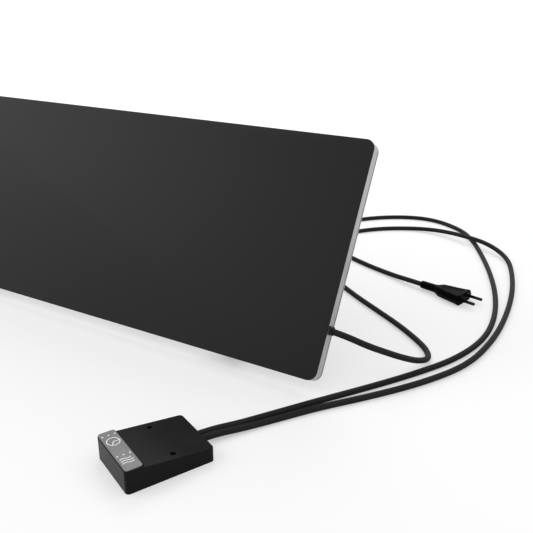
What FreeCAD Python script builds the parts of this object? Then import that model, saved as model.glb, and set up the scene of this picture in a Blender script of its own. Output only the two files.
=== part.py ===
import FreeCAD, Part
import Sketcher

import math
import os
import re

from FreeCAD import Placement, Rotation, Vector

# An infrared heating panel that leans on two fixed feet and two folding legs on the floor, with a
# control unit on its cord. Millimetres. Row frame: X to the right along the panel, Y to the back, Z up.
# Bench frame of the panel: it lies face down, x to the left, y up the panel, z to the back.

SIZES = {
    # Panel outline and its stance
    "panel_width": 700, "panel_height": 250, "panel_corner": 10,
    "panel_lean": 30, "panel_lift": 18.7, "panel_front": 20,
    # Front plate, frame and back sheet
    "plate_thick": 2, "plate_edge": 0.6,
    "frame_deep": 14, "frame_wall": 2, "ledge_width": 9, "flange_thick": 1.5, "ledge_thick": 1.6,
    "sheet_thick": 1, "sheet_recess": 0.4,
    "fit_gap": 0.3, "hole_gap": 0.1, "overrun": 5,
    # Heating mat, its foil track and the insulation
    "mat_thick": 0.8, "track_thick": 0.3, "track_margin": 8, "track_slot": 3, "track_link": 9,
    "track_runs": 16, "bay_long": 75, "track_tail": 16,
    # Wiring bay
    "cord_radius": 3.3, "gland_up": 53, "gland_depth": 9,
    "gland_half": 4.6, "gland_neck": 4.2, "gland_proud": 1.8, "gland_rim": 0.6, "gland_lip": 4,
    "gland_round": 1.2, "lead_seat": 12, "lead_clear": 13.5,
    "clamp_long": 11.5, "clamp_half": 9, "clamp_floor": 1, "clamp_from_side": 21,
    "block_long": 20, "block_half": 10, "block_high": 8, "block_from_side": 50, "block_well": 1.7,
    "block_pitch": 10,
    "wire_radius": 0.9, "wire_level": 8, "wire_bend": 4, "column_from_side": 60, "core_half": 1.6,
    "lug_side": 8, "lug_high": 7, "cutout_radius": 8, "cutout_cap": 6,
    "cutout_base_high": 3.5, "cutout_high": 6.5, "cutout_tab_long": 6, "cutout_tab_half": 2.5,
    "cutout_tab_thick": 0.8,
    # Back sheet screws
    "screw_head": 2.8, "screw_head_high": 1.6, "screw_shank": 1.4, "screw_columns": 5, "screw_margin": 26,
    # Fixed feet
    "foot_from_side": 114, "foot_wide": 26, "foot_thick": 2, "foot_bend": 3, "foot_top": 68, "foot_knee": 38,
    "foot_tread": 17, "foot_screw_low": 48, "foot_screw_top": 61, "pad_thick": 3, "pad_round": 1,
    # Hinge brackets, pins and legs
    "leg_from_side": 154, "leg_wide": 24, "leg_wall": 1.5, "leg_half": 4, "leg_taper": 1.5, "leg_lean": 20,
    "hinge_rise": 6, "hinge_round": 5, "hinge_plate": 2, "hinge_wide": 26, "hinge_reach": 21,
    "ear_thick": 1.7, "ear_half": 5, "stop_gap": 0.3, "heel_long": 5, "web_start": 9,
    "pin_radius": 2, "pin_gap": 0.05, "pin_head": 3.4, "pin_head_thick": 1.4,
    "stand_screw_up": 15, "shoe_wide": 27, "shoe_half": 5.56, "shoe_deep": 11.4, "shoe_tongue": 12,
    "shoe_round": 1.5,
    # Control unit
    "box_long": 82, "box_wide": 61, "box_corner": 3.6, "box_wall": 2, "box_edge": 0.8,
    "head_long": 17, "head_high": 22.3, "step_high": 20.4, "rear_high": 13.5,
    "strip_thick": 0.8, "strip_inset": 0.7, "strip_corner": 2.6, "strip_edge": 0.3,
    "hole_radius": 2.5, "pillar_radius": 4.6,
    "box_place_x": 258.5, "box_place_y": -171.2, "box_yaw": 64.4,
    "base_thick": 2, "post_radius": 2, "boss_radius": 2.6, "boss_inset": 5.5, "boss_end": 6.5,
    "boss_pilot": 1.2,
    "base_head": 2.2, "base_head_high": 1.2, "base_shank": 1.1, "base_screw_long": 8,
    "cord_half": 3.75, "cord_level": 6.3, "cord_clear": 13, "mouth_half": 8.4, "mouth_low": 2.2,
    "mouth_high": 10.6, "grommet_lip": 1.4, "grommet_rim": 0.7,
    "pcb_start": 5, "pillar_gap": 1, "pcb_thick": 1.6, "pcb_level": 5, "post_inset": 4,
    "touch_start": 2.3, "touch_long": 12.2, "touch_side": 1.5, "touch_thick": 1,
    "led_pitch": 5.6, "led_middle": 8.5, "led_side": 1, "led_hole": 0.8,
    "touch_pad": 5, "touch_pad_high": 1,
    "link_long": 2.5, "link_wide": 12, "link_start": 8,
    "relay_wide": 11, "relay_high": 8, "relay_side": 3,
    "supply_wide": 13, "supply_high": 7.5, "supply_side": -15, "part_round": 0.6,
    "fuse_radius": 2.4, "fuse_long": 20, "fuse_cap": 4.5, "fuse_cap_rim": 0.2,
    "term_wide": 13, "term_high": 5.6, "term_well": 1.6, "term_side": 1.5,
    "saddle_long": 5, "saddle_from_end": 13, "saddle_half": 11, "saddle_top": 11.2, "cord_seat": 1,
    # Plug
    "plug_place_x": 350.4, "plug_place_y": 333, "plug_level": 6.9, "plug_yaw": -13, "plug_clear": 21,
    "plug_wide": 36, "plug_high": 13.8, "plug_shoulder": 33, "plug_waist": 20, "plug_face": 64,
    "neck_long": 24, "neck_start_radius": 4.3, "neck_end_radius": 5.2,
    "waist_wide": 11, "waist_high": 9.6, "shoulder_wide": 24, "shoulder_high": 13.4,
    "prong_radius": 2, "prong_core": 1.5, "prong_sleeve": 1.9, "prong_half": 9.5, "prong_seat": 9,
    "prong_long": 19, "prong_sleeve_long": 10, "prong_tip": 1,
}

# Shares: the plug's flat top, a tube's arcs, a tube's volume error, and places up the panel
PLUG_FLAT_SHARE = 0.74
RUN_SHARE = 0.45
TUBE_SHARE = 0.01
HINGE_SHARE = 0.66
CUTOUT_SHARE = 0.52

# Shares of the control unit's length at which its inner pieces start and end, and its screw holes stand
BOX_SHARES = {
    "relay": (0.25, 0.45), "supply": (0.225, 0.475), "term": (0.65, 0.75),
    "fuse": 0.5625, "hole": 0.564634, "boss": 0.3,
}

# What counts as no length when edges are picked out
FREE = 1e-4

# Shares of the control unit's width at which its lamps, touch pads and screw holes stand off its middle
WIDE_SHARES = {
    "timer_row": 0.3836, "timer_pad": 0.21475, "heat_row": -0.141, "heat_pad": -0.2787, "hole": 0.3713115,
}

# Levels of the panel, from its front face towards its back
MAT_TOP = "(plate_thick + mat_thick)"
TRACK_TOP = "(plate_thick + mat_thick + track_thick)"
RIM = "(plate_thick + frame_deep)"
SHEET_TOP = "(plate_thick + frame_deep - sheet_recess)"
SHEET_BASE = "(plate_thick + frame_deep - sheet_recess - sheet_thick)"
INNER_SIDE = "(panel_width / 2 - ledge_width - fit_gap)"
INNER_LOW = "(ledge_width + fit_gap)"
INNER_TOP = "(panel_height - ledge_width - fit_gap)"

# Places along and up the panel
CLAMP_START = "(panel_width / 2 - clamp_from_side)"
BLOCK_START = "(panel_width / 2 - block_from_side)"
WIRE_COLUMN = "(panel_width / 2 - column_from_side)"
FOOT_ACROSS = "(panel_width / 2 - foot_from_side)"
LEG_ACROSS = "(panel_width / 2 - leg_from_side)"
HINGE_UP = f"({HINGE_SHARE} * panel_height)"
CUTOUT_UP = f"({CUTOUT_SHARE} * panel_height)"

# Levels of the control unit
ROOF_DROP = "((step_high - rear_high) / (box_long - head_long))"
PCB_TOP = "(pcb_level + pcb_thick)"
HEAD_ROOF = "(head_high - box_wall)"
BOX_PLACES = {name: f"({share} * box_long)" for name, share in BOX_SHARES.items() if isinstance(share, float)}
BOX_SPANS = {
    name: tuple(f"({end} * box_long)" for end in share)
    for name, share in BOX_SHARES.items() if isinstance(share, tuple)}
PCB_END = BOX_SPANS["term"][1]
WIDE_PLACES = {name: f"({share} * box_wide)" for name, share in WIDE_SHARES.items()}
PCB_SIDE = f"({WIDE_PLACES['hole']} - pillar_radius - pillar_gap)"
TOUCH_SIDE = "(box_wide / 2 - box_wall - touch_side)"
CORD_END = "(box_long - saddle_from_end + cord_seat)"

# Routes of the two free leads in the row frame, between the ends that the other pieces hold
HEATER_ROUTE = [
    (387.5, 61.5, 51.5), (400.5, 78, 39.8), (411, 99, 26.3), (420, 124, 12.5), (424, 149, 4.5),
    (416, 170, 3.3), (396.5, 187, 3.3), (365, 210.5, 3.3), (327, 235, 3.3), (285, 264.5, 3.3),
    (240, 299, 3.3), (194, 343, 3.3), (156, 400, 3.3), (139, 464, 3.3), (147, 525, 3.3), (180, 572, 3.3),
    (228, 606, 3.3), (276, 614, 3.3), (317, 591, 3.3), (353, 547, 3.3), (386, 490, 3.3), (417, 427, 3.3),
    (443, 358, 3.3), (460, 287, 3.3), (462, 225, 3.3), (448, 167, 3.3), (422, 112, 3.3), (390, 62, 3.3),
    (356, 14, 3.3), (329, -30.5, 3.3), (312, -59, 4.2),
]
MAINS_ROUTE = [
    (319.5, -63.5, 4.2), (337.5, -35.5, 3.3), (364, 4, 3.3), (400, 50, 3.3), (435, 100, 3.3),
    (461, 160, 3.3), (472, 225, 3.3), (471, 290, 3.3), (461, 370, 3.3), (443, 445, 3.3), (424, 495, 5),
    (390, 521, 16.6), (350, 522, 16.6), (305, 543, 7), (255, 551, 3.3), (205, 520, 3.3), (170, 470, 3.3),
    (170, 425, 3.3), (205, 395, 3.3), (255, 368, 3.3), (305, 348, 3.8),
]

doc = FreeCAD.newDocument("desk_heater")
sheet = doc.addObject("Spreadsheet::Sheet", "sizes")
for row, (alias, number) in enumerate(SIZES.items(), start=1):
    sheet.set(f"A{row}", alias)
    sheet.set(f"B{row}", str(number))
    sheet.setAlias(f"B{row}", alias)
doc.recompute()

pieces = []


def in_sheet(text):
    """An expression in plain size names, with each name pointed at its cell."""
    return re.sub(r"[a-z_]+", lambda word: f"sizes.{word[0]}" if word[0] in SIZES else word[0], text)


def value(text):
    """The number that an expression in size names comes to."""
    result = sheet.evalExpression(in_sheet(text))
    return float(getattr(result, "Value", result))


def bind(target, **expressions):
    """Tie properties to expressions in size names."""
    for name, text in expressions.items():
        target.setExpression(name, in_sheet(text))


def place(target, x="0", y="0", z="0"):
    """Tie an object's place to expressions in size names."""
    for axis, text in (("x", x), ("y", y), ("z", z)):
        target.setExpression(f"Placement.Base.{axis}", in_sheet(text))


def block(x_span, y_span, z_span):
    """A box between pairs of expressions."""
    box = doc.addObject("Part::Box", "block")
    for side, (low, high) in zip(("Length", "Width", "Height"), (x_span, y_span, z_span)):
        box.setExpression(side, in_sheet(f"({high}) - ({low})"))
    place(box, x_span[0], y_span[0], z_span[0])
    return box


ALONG = {"x": Rotation(Vector(0, 1, 0), 90), "y": Rotation(Vector(1, 0, 0), -90), "z": Rotation()}


def rod(radius, length, x, y, z, along="z"):
    """A cylinder that starts at a place and runs along an axis."""
    cylinder = doc.addObject("Part::Cylinder", "rod")
    bind(cylinder, Radius=radius, Height=length)
    cylinder.Placement = Placement(Vector(), ALONG[along])
    place(cylinder, x, y, z)
    return cylinder


def fuse(*members):
    """One solid of several that meet."""
    union = doc.addObject("Part::MultiFuse", "union")
    union.Shapes = list(members)
    return union


def cut(base, *tools):
    """A solid with others taken out of it."""
    rest = doc.addObject("Part::Cut", "rest")
    rest.Base = base
    rest.Tool = tools[0] if len(tools) == 1 else fuse(*tools)
    return rest


def group(*members):
    """Several separate solids that share one node."""
    compound = doc.addObject("Part::Compound", "set")
    compound.Links = list(members)
    return compound


def solid_from(shape):
    """A plain feature that holds a finished shape."""
    feature = doc.addObject("Part::Feature", "shape")
    feature.Shape = shape
    return feature


def new_body():
    """An empty body with its own origin."""
    return doc.addObject("PartDesign::Body", "body")


def sketch_on(body, role, offset="0"):
    """A sketch on one of the body's origin planes, moved along the plane's normal."""
    sketch = body.newObject("Sketcher::SketchObject", "sketch")
    plane = next(feature for feature in body.Origin.OriginFeatures if feature.Role == role)
    sketch.AttachmentSupport = [(plane, "")]
    sketch.MapMode = "FlatFace"
    sketch.setExpression("AttachmentOffset.Base.z", in_sheet(offset))
    return sketch


def fix(sketch, kind, geometry, position, text):
    """Hold a point of the sketch at a distance from its origin."""
    number = sketch.addConstraint(Sketcher.Constraint(kind, -1, 1, geometry, position, value(text)))
    sketch.setExpression(f"Constraints[{number}]", in_sheet(text))


def outline(sketch, points):
    """A closed outline of straight sides through points given as pairs of expressions."""
    first = sketch.GeometryCount
    spots = [Vector(value(x), value(y), 0) for x, y in points]
    for spot, following in zip(spots, spots[1:] + spots[:1]):
        sketch.addGeometry(Part.LineSegment(spot, following), False)
    for index in range(len(spots)):
        after = first + (index + 1) % len(spots)
        sketch.addConstraint(Sketcher.Constraint("Coincident", first + index, 2, after, 1))
    for index, (x, y) in enumerate(points):
        fix(sketch, "DistanceX", first + index, 1, x)
        fix(sketch, "DistanceY", first + index, 1, y)


def oblong(sketch, x_span, y_span):
    """A rectangle between pairs of expressions."""
    (left, right), (low, high) = x_span, y_span
    outline(sketch, [(left, low), (right, low), (right, high), (left, high)])


def circle(sketch, x, y, radius):
    """A circle about a point given by expressions."""
    spot = Vector(value(x), value(y), 0)
    index = sketch.addGeometry(Part.Circle(spot, Vector(0, 0, 1), value(radius)), False)
    fix(sketch, "DistanceX", index, 3, x)
    fix(sketch, "DistanceY", index, 3, y)
    number = sketch.addConstraint(Sketcher.Constraint("Radius", index, value(radius)))
    sketch.setExpression(f"Constraints[{number}]", in_sheet(radius))


def pad(body, sketch, length, both=False):
    """Raise a sketch along its normal, or to both sides of its plane."""
    feature = body.newObject("PartDesign::Pad", "pad")
    feature.Profile = sketch
    feature.Midplane = both
    bind(feature, Length=length)
    doc.recompute()
    return feature


def pocket(body, sketch, length, both=False, along=False):
    """Cut a sketch against its normal, along it, or to both sides, and check that it cut."""
    before = body.Shape.Volume
    feature = body.newObject("PartDesign::Pocket", "pocket")
    feature.Profile = sketch
    feature.Midplane = both
    feature.Reversed = along
    bind(feature, Length=length)
    doc.recompute()
    assert body.Shape.Volume < before, "a pocket cut nothing"
    return feature


def repeat(body, original, role, length, count):
    """A row of copies of a feature along one of the body's axes."""
    pattern = body.newObject("PartDesign::LinearPattern", "pattern")
    axis = next(feature for feature in body.Origin.OriginFeatures if feature.Role == role)
    pattern.Originals = [original]
    pattern.Direction = (axis, [""])
    bind(pattern, Length=length, Occurrences=count)
    body.Tip = pattern
    doc.recompute()


def round_edges(body, radius, wanted):
    """Round the edges of a body that a test picks out."""
    tip = body.Tip
    edges = [f"Edge{number}" for number, edge in enumerate(tip.Shape.Edges, start=1) if wanted(edge)]
    feature = body.newObject("PartDesign::Fillet", "fillet")
    feature.Base = (tip, edges)
    bind(feature, Radius=radius)
    doc.recompute()


def upright(edge):
    """Whether an edge runs along z."""
    box = edge.BoundBox
    return max(box.XLength, box.YLength) < FREE and box.ZLength > FREE


def at_level(text):
    """A test for edges that lie in one plane across z."""
    level = value(text)
    return lambda edge: abs(edge.BoundBox.ZMin - level) < FREE and abs(edge.BoundBox.ZMax - level) < FREE


def keep(label, target, placement=None):
    """Name a finished sub-part and put it in its place."""
    target.Label = label
    if placement is not None:
        target.Placement = placement
    doc.recompute()
    pieces.append(target)


def rounded_path(points, radii):
    """Straight runs joined by tangent arcs, one arc at each inner point."""
    spots = [Vector(*point) for point in points]
    edges = []
    start = spots[0]
    for before, corner, after, radius in zip(spots, spots[1:], spots[2:], radii):
        arriving = (corner - before).normalize()
        leaving = (after - corner).normalize()
        half_turn = arriving.getAngle(leaving) / 2
        reach = radius * math.tan(half_turn)
        first = corner - arriving * reach
        last = corner + leaving * reach
        inward = (leaving - arriving).normalize()
        middle = corner + inward * (radius / math.cos(half_turn) - radius)
        edges.append(Part.LineSegment(start, first).toShape())
        edges.append(Part.Arc(first, middle, last).toShape())
        start = last
    edges.append(Part.LineSegment(start, spots[-1]).toShape())
    return Part.Wire(edges)


def tube(points, radii, radius):
    """A round tube along a path, whose volume is compared with its section times its length."""
    path = rounded_path(points, radii)
    start = Vector(*points[0])
    heading = Vector(*points[1]) - start
    section = Part.Wire([Part.Circle(start, heading, radius).toShape()])
    shape = path.makePipeShell([section], True, False)
    expected = math.pi * radius ** 2 * path.Length
    assert abs(shape.Volume - expected) < expected * TUBE_SHARE, "a tube's volume is off"
    return shape, path.Length


def largest_radii(points):
    """The radius at each inner point: a share of the shorter run over the tangent of half the turn."""
    spots = [Vector(*point) for point in points]
    radii = []
    for before, corner, after in zip(spots, spots[1:], spots[2:]):
        shorter = min((corner - before).Length, (after - corner).Length)
        half_turn = (corner - before).getAngle(after - corner) / 2
        radii.append(RUN_SHARE * shorter / math.tan(half_turn))
    return radii


# Where the bench frame of the panel stands in the row frame
lean = math.radians(value("panel_lean"))
up_panel = Vector(0, math.sin(lean), math.cos(lean))
to_back = Vector(0, math.cos(lean), -math.sin(lean))
stance = Placement(
    Vector(0, value("panel_front"), value("panel_lift")),
    Rotation(Vector(-1, 0, 0), up_panel, to_back, "ZXY"),
)


def panel_sheet(thick, level, inset, corner):
    """A flat sheet with the panel's round corners, drawn in from its outline."""
    body = new_body()
    sketch = sketch_on(body, "XY_Plane", level)
    side = f"panel_width / 2 - ({inset})"
    oblong(sketch, (f"-({side})", side), (inset, f"panel_height - ({inset})"))
    pad(body, sketch, thick)
    round_edges(body, corner, upright)
    return body


# Front plate: a black coated sheet whose rounded rim is the panel's outline
front_plate = panel_sheet("plate_thick", "0", "0", "panel_corner")
round_edges(front_plate, "plate_edge", at_level("0"))
keep("front_plate", front_plate, stance)

# Where the screws of the back sheet stand: two rows along the frame's ledge
screw_spots = []
for column in range(int(value("screw_columns"))):
    across = f"(panel_width / 2 - screw_margin) * (2 * {column} / (screw_columns - 1) - 1)"
    screw_spots.append((across, "(frame_wall + ledge_width) / 2"))
    screw_spots.append((across, "panel_height - (frame_wall + ledge_width) / 2"))

# Where the screws of the feet and hinge brackets stand
foot_spots = [(f"{side} * {FOOT_ACROSS}", f"foot_screw_{end}") for side in (-1, 1) for end in ("low", "top")]
hinge_spots = [
    (f"{side} * {LEG_ACROSS}", f"{HINGE_UP} + {end} * stand_screw_up") for side in (-1, 1) for end in (-1, 1)]


def drill(spots, radius, low, high):
    """Straight holes through a stack of sheets, one at each spot."""
    return [rod(radius, f"({high}) - ({low})", x, y, low) for x, y in spots]


def pan_screw(x, y, seat, grip):
    """A pan head on its seat, with a shank that reaches through what it grips."""
    head = rod("screw_head", "screw_head_high", x, y, seat)
    shank = rod("screw_shank", grip, x, y, f"({seat}) - ({grip})")
    return fuse(head, shank)


# Edge frame: a channel bent round the panel, with a flange for the plate and a ledge for the back sheet
frame_bar = panel_sheet("frame_deep", "plate_thick", "0", "panel_corner")
frame_opening = panel_sheet(
    "frame_deep + 2 * overrun", "plate_thick - overrun", "ledge_width", "panel_corner - ledge_width")
CHANNEL_LOW = "(plate_thick + flange_thick)"
CHANNEL_TOP = f"({SHEET_BASE} - ledge_thick)"
frame_channel = panel_sheet(
    f"{CHANNEL_TOP} - {CHANNEL_LOW}", CHANNEL_LOW, "frame_wall", "panel_corner - frame_wall")
frame_recess = panel_sheet(
    "sheet_thick + sheet_recess + overrun", SHEET_BASE, "frame_wall", "panel_corner - frame_wall")
frame_window = block(
    ("-panel_width / 2 - overrun", "-panel_width / 2 + frame_wall + fit_gap"),
    ("gland_up - gland_neck - hole_gap", "gland_up + gland_neck + hole_gap"),
    (CHANNEL_LOW, CHANNEL_TOP))
ledge_holes = drill(screw_spots, "screw_shank + hole_gap", CHANNEL_TOP, SHEET_BASE)
frame_cuts = [frame_opening, frame_channel, frame_recess, frame_window]
keep("edge_frame", cut(frame_bar, *frame_cuts, *ledge_holes), stance)

# Heating mat: a thin sheet bonded to the back of the plate, inside the frame's flange
mat = panel_sheet(
    "mat_thick", "plate_thick", "ledge_width + fit_gap", "panel_corner - ledge_width - fit_gap")
keep("heating_mat", mat, stance)

# Heating track: a foil sheet slit from its two ends in turn, so that one path runs to and fro
TRACK_START = f"(-{INNER_SIDE} + bay_long - track_tail)"
TRACK_END = f"({INNER_SIDE} - track_margin)"
TRACK_LOW = f"({INNER_LOW} + track_margin)"
TRACK_HIGH = f"({INNER_TOP} - track_margin)"
TRACK_PITCH = f"(({TRACK_HIGH} - {TRACK_LOW}) / track_runs)"
track = new_body()
track_sheet = sketch_on(track, "XY_Plane", MAT_TOP)
oblong(track_sheet, (TRACK_START, TRACK_END), (TRACK_LOW, TRACK_HIGH))
pad(track, track_sheet, "track_thick")
for first_slot, (slot_start, slot_end), slots in (
    (1, (f"{TRACK_START} - overrun", f"{TRACK_END} - track_link"), "track_runs / 2"),
    (2, (f"{TRACK_START} + track_link", f"{TRACK_END} + overrun"), "track_runs / 2 - 1"),
):
    slit = sketch_on(track, "XY_Plane", MAT_TOP)
    middle = f"{TRACK_LOW} + {first_slot} * {TRACK_PITCH}"
    oblong(slit, (slot_start, slot_end), (f"{middle} - track_slot / 2", f"{middle} + track_slot / 2"))
    slot = pocket(track, slit, "track_thick", along=True)
    repeat(track, slot, "Y_Axis", f"2 * {TRACK_PITCH} * ({slots} - 1)", slots)
keep("heating_track", track, stance)

# Insulation board: fills the panel behind the track, short of the wiring bay
board = new_body()
board_sketch = sketch_on(board, "XY_Plane", TRACK_TOP)
oblong(board_sketch, (f"-{INNER_SIDE} + bay_long", INNER_SIDE), (INNER_LOW, INNER_TOP))
pad(board, board_sketch, f"{SHEET_BASE} - {TRACK_TOP}")
round_edges(board, "panel_corner - ledge_width", upright)
keep("insulation_board", board, stance)

# Back sheet: lies in the frame's recess, drilled for its own screws and the stand's
back = panel_sheet(
    "sheet_thick", SHEET_BASE, "frame_wall + fit_gap", "panel_corner - frame_wall - fit_gap")
sheet_spots = screw_spots + foot_spots + hinge_spots
sheet_holes = drill(sheet_spots, "screw_shank + hole_gap", SHEET_BASE, SHEET_TOP)
keep("back_sheet", cut(back, *sheet_holes), stance)
back_screws = [pan_screw(x, y, SHEET_TOP, "sheet_thick + ledge_thick") for x, y in screw_spots]
keep("back_screws", group(*back_screws), stance)

# Cable gland: a moulded block in the window of the frame, with a rounded collar outside and a lip inside
gland = new_body()
gland_y = ("gland_up - gland_half", "gland_up + gland_half")
collar = sketch_on(gland, "YZ_Plane", "-panel_width / 2 - gland_proud")
oblong(collar, gland_y, ("plate_thick + gland_rim", f"{RIM} - gland_rim"))
pad(gland, collar, "gland_proud")
collar_seat = -value("panel_width / 2")
round_edges(gland, "gland_round", lambda edge: edge.BoundBox.XMin < collar_seat - FREE)
gland_neck = sketch_on(gland, "YZ_Plane", "-panel_width / 2")
channel_span = (f"{CHANNEL_LOW} + hole_gap", f"{CHANNEL_TOP} - hole_gap")
oblong(gland_neck, ("gland_up - gland_neck", "gland_up + gland_neck"), channel_span)
pad(gland, gland_neck, "frame_wall + hole_gap")
gland_lip = sketch_on(gland, "YZ_Plane", "-panel_width / 2 + frame_wall + hole_gap")
oblong(gland_lip, gland_y, channel_span)
pad(gland, gland_lip, "gland_lip")
gland_bore = sketch_on(gland, "YZ_Plane", "-panel_width / 2 - gland_proud")
circle(gland_bore, "gland_up", "gland_depth", "cord_radius + hole_gap")
pocket(gland, gland_bore, "gland_proud + frame_wall + gland_lip + overrun", along=True)
keep("cable_gland", gland, stance)

# Cord clamp of the panel: a block on the back sheet that the lead is pushed through
clamp_block = block(
    (f"-{CLAMP_START} - clamp_long", f"-{CLAMP_START}"),
    ("gland_up - clamp_half", "gland_up + clamp_half"),
    (f"{MAT_TOP} + clamp_floor", SHEET_BASE))
clamp_bore = rod(
    "cord_radius + hole_gap", "clamp_long + 2 * overrun", f"-{CLAMP_START} - clamp_long - overrun",
    "gland_up", "gland_depth", along="x")
keep("panel_cord_clamp", cut(clamp_block, clamp_bore), stance)

# Terminal block: two poles with screw wells, on the inside of the back sheet
terminal = block(
    (f"-{BLOCK_START} - block_long", f"-{BLOCK_START}"),
    ("gland_up - block_half", "gland_up + block_half"),
    (f"{SHEET_BASE} - block_high", SHEET_BASE))
wells = [
    rod("block_well", "block_high / 2", f"-{BLOCK_START} - block_long / 2",
        f"gland_up + {side} * block_pitch / 2", f"{SHEET_BASE} - block_high")
    for side in (-1, 1)]
keep("terminal_block", cut(terminal, *wells), stance)

# Thermal cut-out: a capped disc on the mat, with a blade on either side
cutout_disc = rod("cutout_radius", "cutout_base_high", f"-{WIRE_COLUMN}", CUTOUT_UP, MAT_TOP)
cutout_cap = rod("cutout_cap", "cutout_high", f"-{WIRE_COLUMN}", CUTOUT_UP, MAT_TOP)
cutout_tabs = block(
    (f"-{WIRE_COLUMN} - cutout_tab_half", f"-{WIRE_COLUMN} + cutout_tab_half"),
    (f"{CUTOUT_UP} - cutout_radius - cutout_tab_long", f"{CUTOUT_UP} + cutout_radius + cutout_tab_long"),
    ("wire_level - cutout_tab_thick / 2", "wire_level + cutout_tab_thick / 2"))
keep("thermal_cutout", fuse(cutout_disc, cutout_cap, cutout_tabs), stance)

# Track lugs: a post on each free end of the foil track
LUG_MIDDLES = (
    f"({TRACK_LOW} + {TRACK_PITCH} / 2 - track_slot / 4)",
    f"({TRACK_HIGH} - {TRACK_PITCH} / 2 + track_slot / 4)")
lugs = [
    block((TRACK_START, f"{TRACK_START} + lug_side"), (f"{y} - lug_side / 2", f"{y} + lug_side / 2"),
          (TRACK_TOP, f"{TRACK_TOP} + lug_high"))
    for y in LUG_MIDDLES]
keep("track_lugs", group(*lugs), stance)

# Inner leads: the cord's two cores to the terminal block, and wires on to the lugs and the cut-out
wire_level = value("wire_level")
column_x = value(f"-{WIRE_COLUMN}")
block_x = value(f"-{BLOCK_START}")
lug_x = value(TRACK_START)
low_pole, high_pole = (value(f"gland_up + {side} * block_pitch / 2") for side in (-1, 1))
low_lug, high_lug = (value(y) for y in LUG_MIDDLES)
blade = value("cutout_radius + cutout_tab_long")
wire_routes = [
    [(block_x, low_pole), (column_x, low_pole), (column_x, low_lug), (lug_x, low_lug)],
    [(block_x, high_pole), (column_x, high_pole), (column_x, value(CUTOUT_UP) - blade)],
    [(column_x, value(CUTOUT_UP) + blade), (column_x, high_lug), (lug_x, high_lug)],
]
wires = []
for route in wire_routes:
    spots = [(x, y, wire_level) for x, y in route]
    wire_shape, wire_length = tube(spots, [value("wire_bend")] * (len(spots) - 2), value("wire_radius"))
    wires.append(solid_from(wire_shape))
LEAD_START = "(-panel_width / 2 + lead_seat)"
cores = [
    rod("wire_radius", f"-{BLOCK_START} - block_long - {LEAD_START}", LEAD_START,
        f"gland_up + {side} * core_half", "gland_depth", along="x")
    for side in (-1, 1)]
keep("inner_leads", group(*wires, *cores), stance)

# Fixed feet: a strip screwed to the back sheet, bent down to the floor and back along it, on a rubber pad
down = Vector(0, -math.cos(lean), math.sin(lean))
along_floor = Vector(0, math.sin(lean), math.cos(lean))
strip_level = value(f"{SHEET_TOP} + foot_thick / 2")
knee = Vector(0, value("foot_knee"), strip_level)
knee_in_row = stance.multVec(knee)
ankle = knee + down * (knee_in_row.z - value("pad_thick + foot_thick / 2"))
toe = ankle + along_floor * value("foot_tread")
strip_spots = [Vector(0, value("foot_top"), strip_level), knee, ankle, toe]
strip_path = rounded_path(strip_spots, [value("foot_bend")] * 2)
strip_start = strip_path.Vertexes[0].Point
half_wide = Vector(value("foot_wide / 2"), 0, 0)
half_thick = Vector(0, 0, value("foot_thick / 2"))
strip_turns = ((-1, -1), (1, -1), (1, 1), (-1, 1))
strip_corners = [strip_start + half_wide * a + half_thick * b for a, b in strip_turns]
strip_section = Part.makePolygon(strip_corners + strip_corners[:1])
strip_shape = strip_path.makePipeShell([strip_section], True, False)
SIDES = (("left", 1), ("right", -1))
for side, sign in SIDES:
    strip = solid_from(strip_shape)
    strip_holes = [("0", "foot_screw_low"), ("0", "foot_screw_top")]
    foot_holes = drill(strip_holes, "screw_shank + hole_gap", SHEET_TOP, f"{SHEET_TOP} + foot_thick")
    foot_place = stance.multiply(Placement(Vector(sign * value(FOOT_ACROSS), 0, 0), Rotation()))
    keep(f"{side}_foot", cut(strip, *foot_holes), foot_place)
    tread = new_body()
    tread_sketch = sketch_on(tread, "XY_Plane")
    oblong(tread_sketch, ("-foot_wide / 2", "foot_wide / 2"), ("0", "foot_tread + foot_thick / 2"))
    pad(tread, tread_sketch, "pad_thick")
    round_edges(tread, "pad_round", upright)
    tread_spot = Vector(-sign * value(FOOT_ACROSS), knee_in_row.y - value("foot_thick / 2"), 0)
    keep(f"{side}_foot_pad", tread, Placement(tread_spot, Rotation()))

# Hinge brackets, pins, folding legs and their shoes
AXIS = f"({SHEET_TOP} + hinge_plate + hinge_rise)"
EAR_SPAN = "(leg_wide - 2 * leg_wall - 2 * fit_gap)"
OPEN_TURN = "((panel_lean + leg_lean) * 1 deg)"
HINGE_HIGH = f"(panel_lift - {AXIS} * sin(panel_lean * 1 deg) + {HINGE_UP} * cos(panel_lean * 1 deg))"
LEG_LONG = f"({HINGE_HIGH} / cos(leg_lean * 1 deg) - shoe_deep)"


def sole(z):
    """Where the floor cuts a line along the leg at a height across it, with the leg open."""
    return f"-({HINGE_HIGH} + sin(leg_lean * 1 deg) * ({z})) / cos(leg_lean * 1 deg)"


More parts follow.
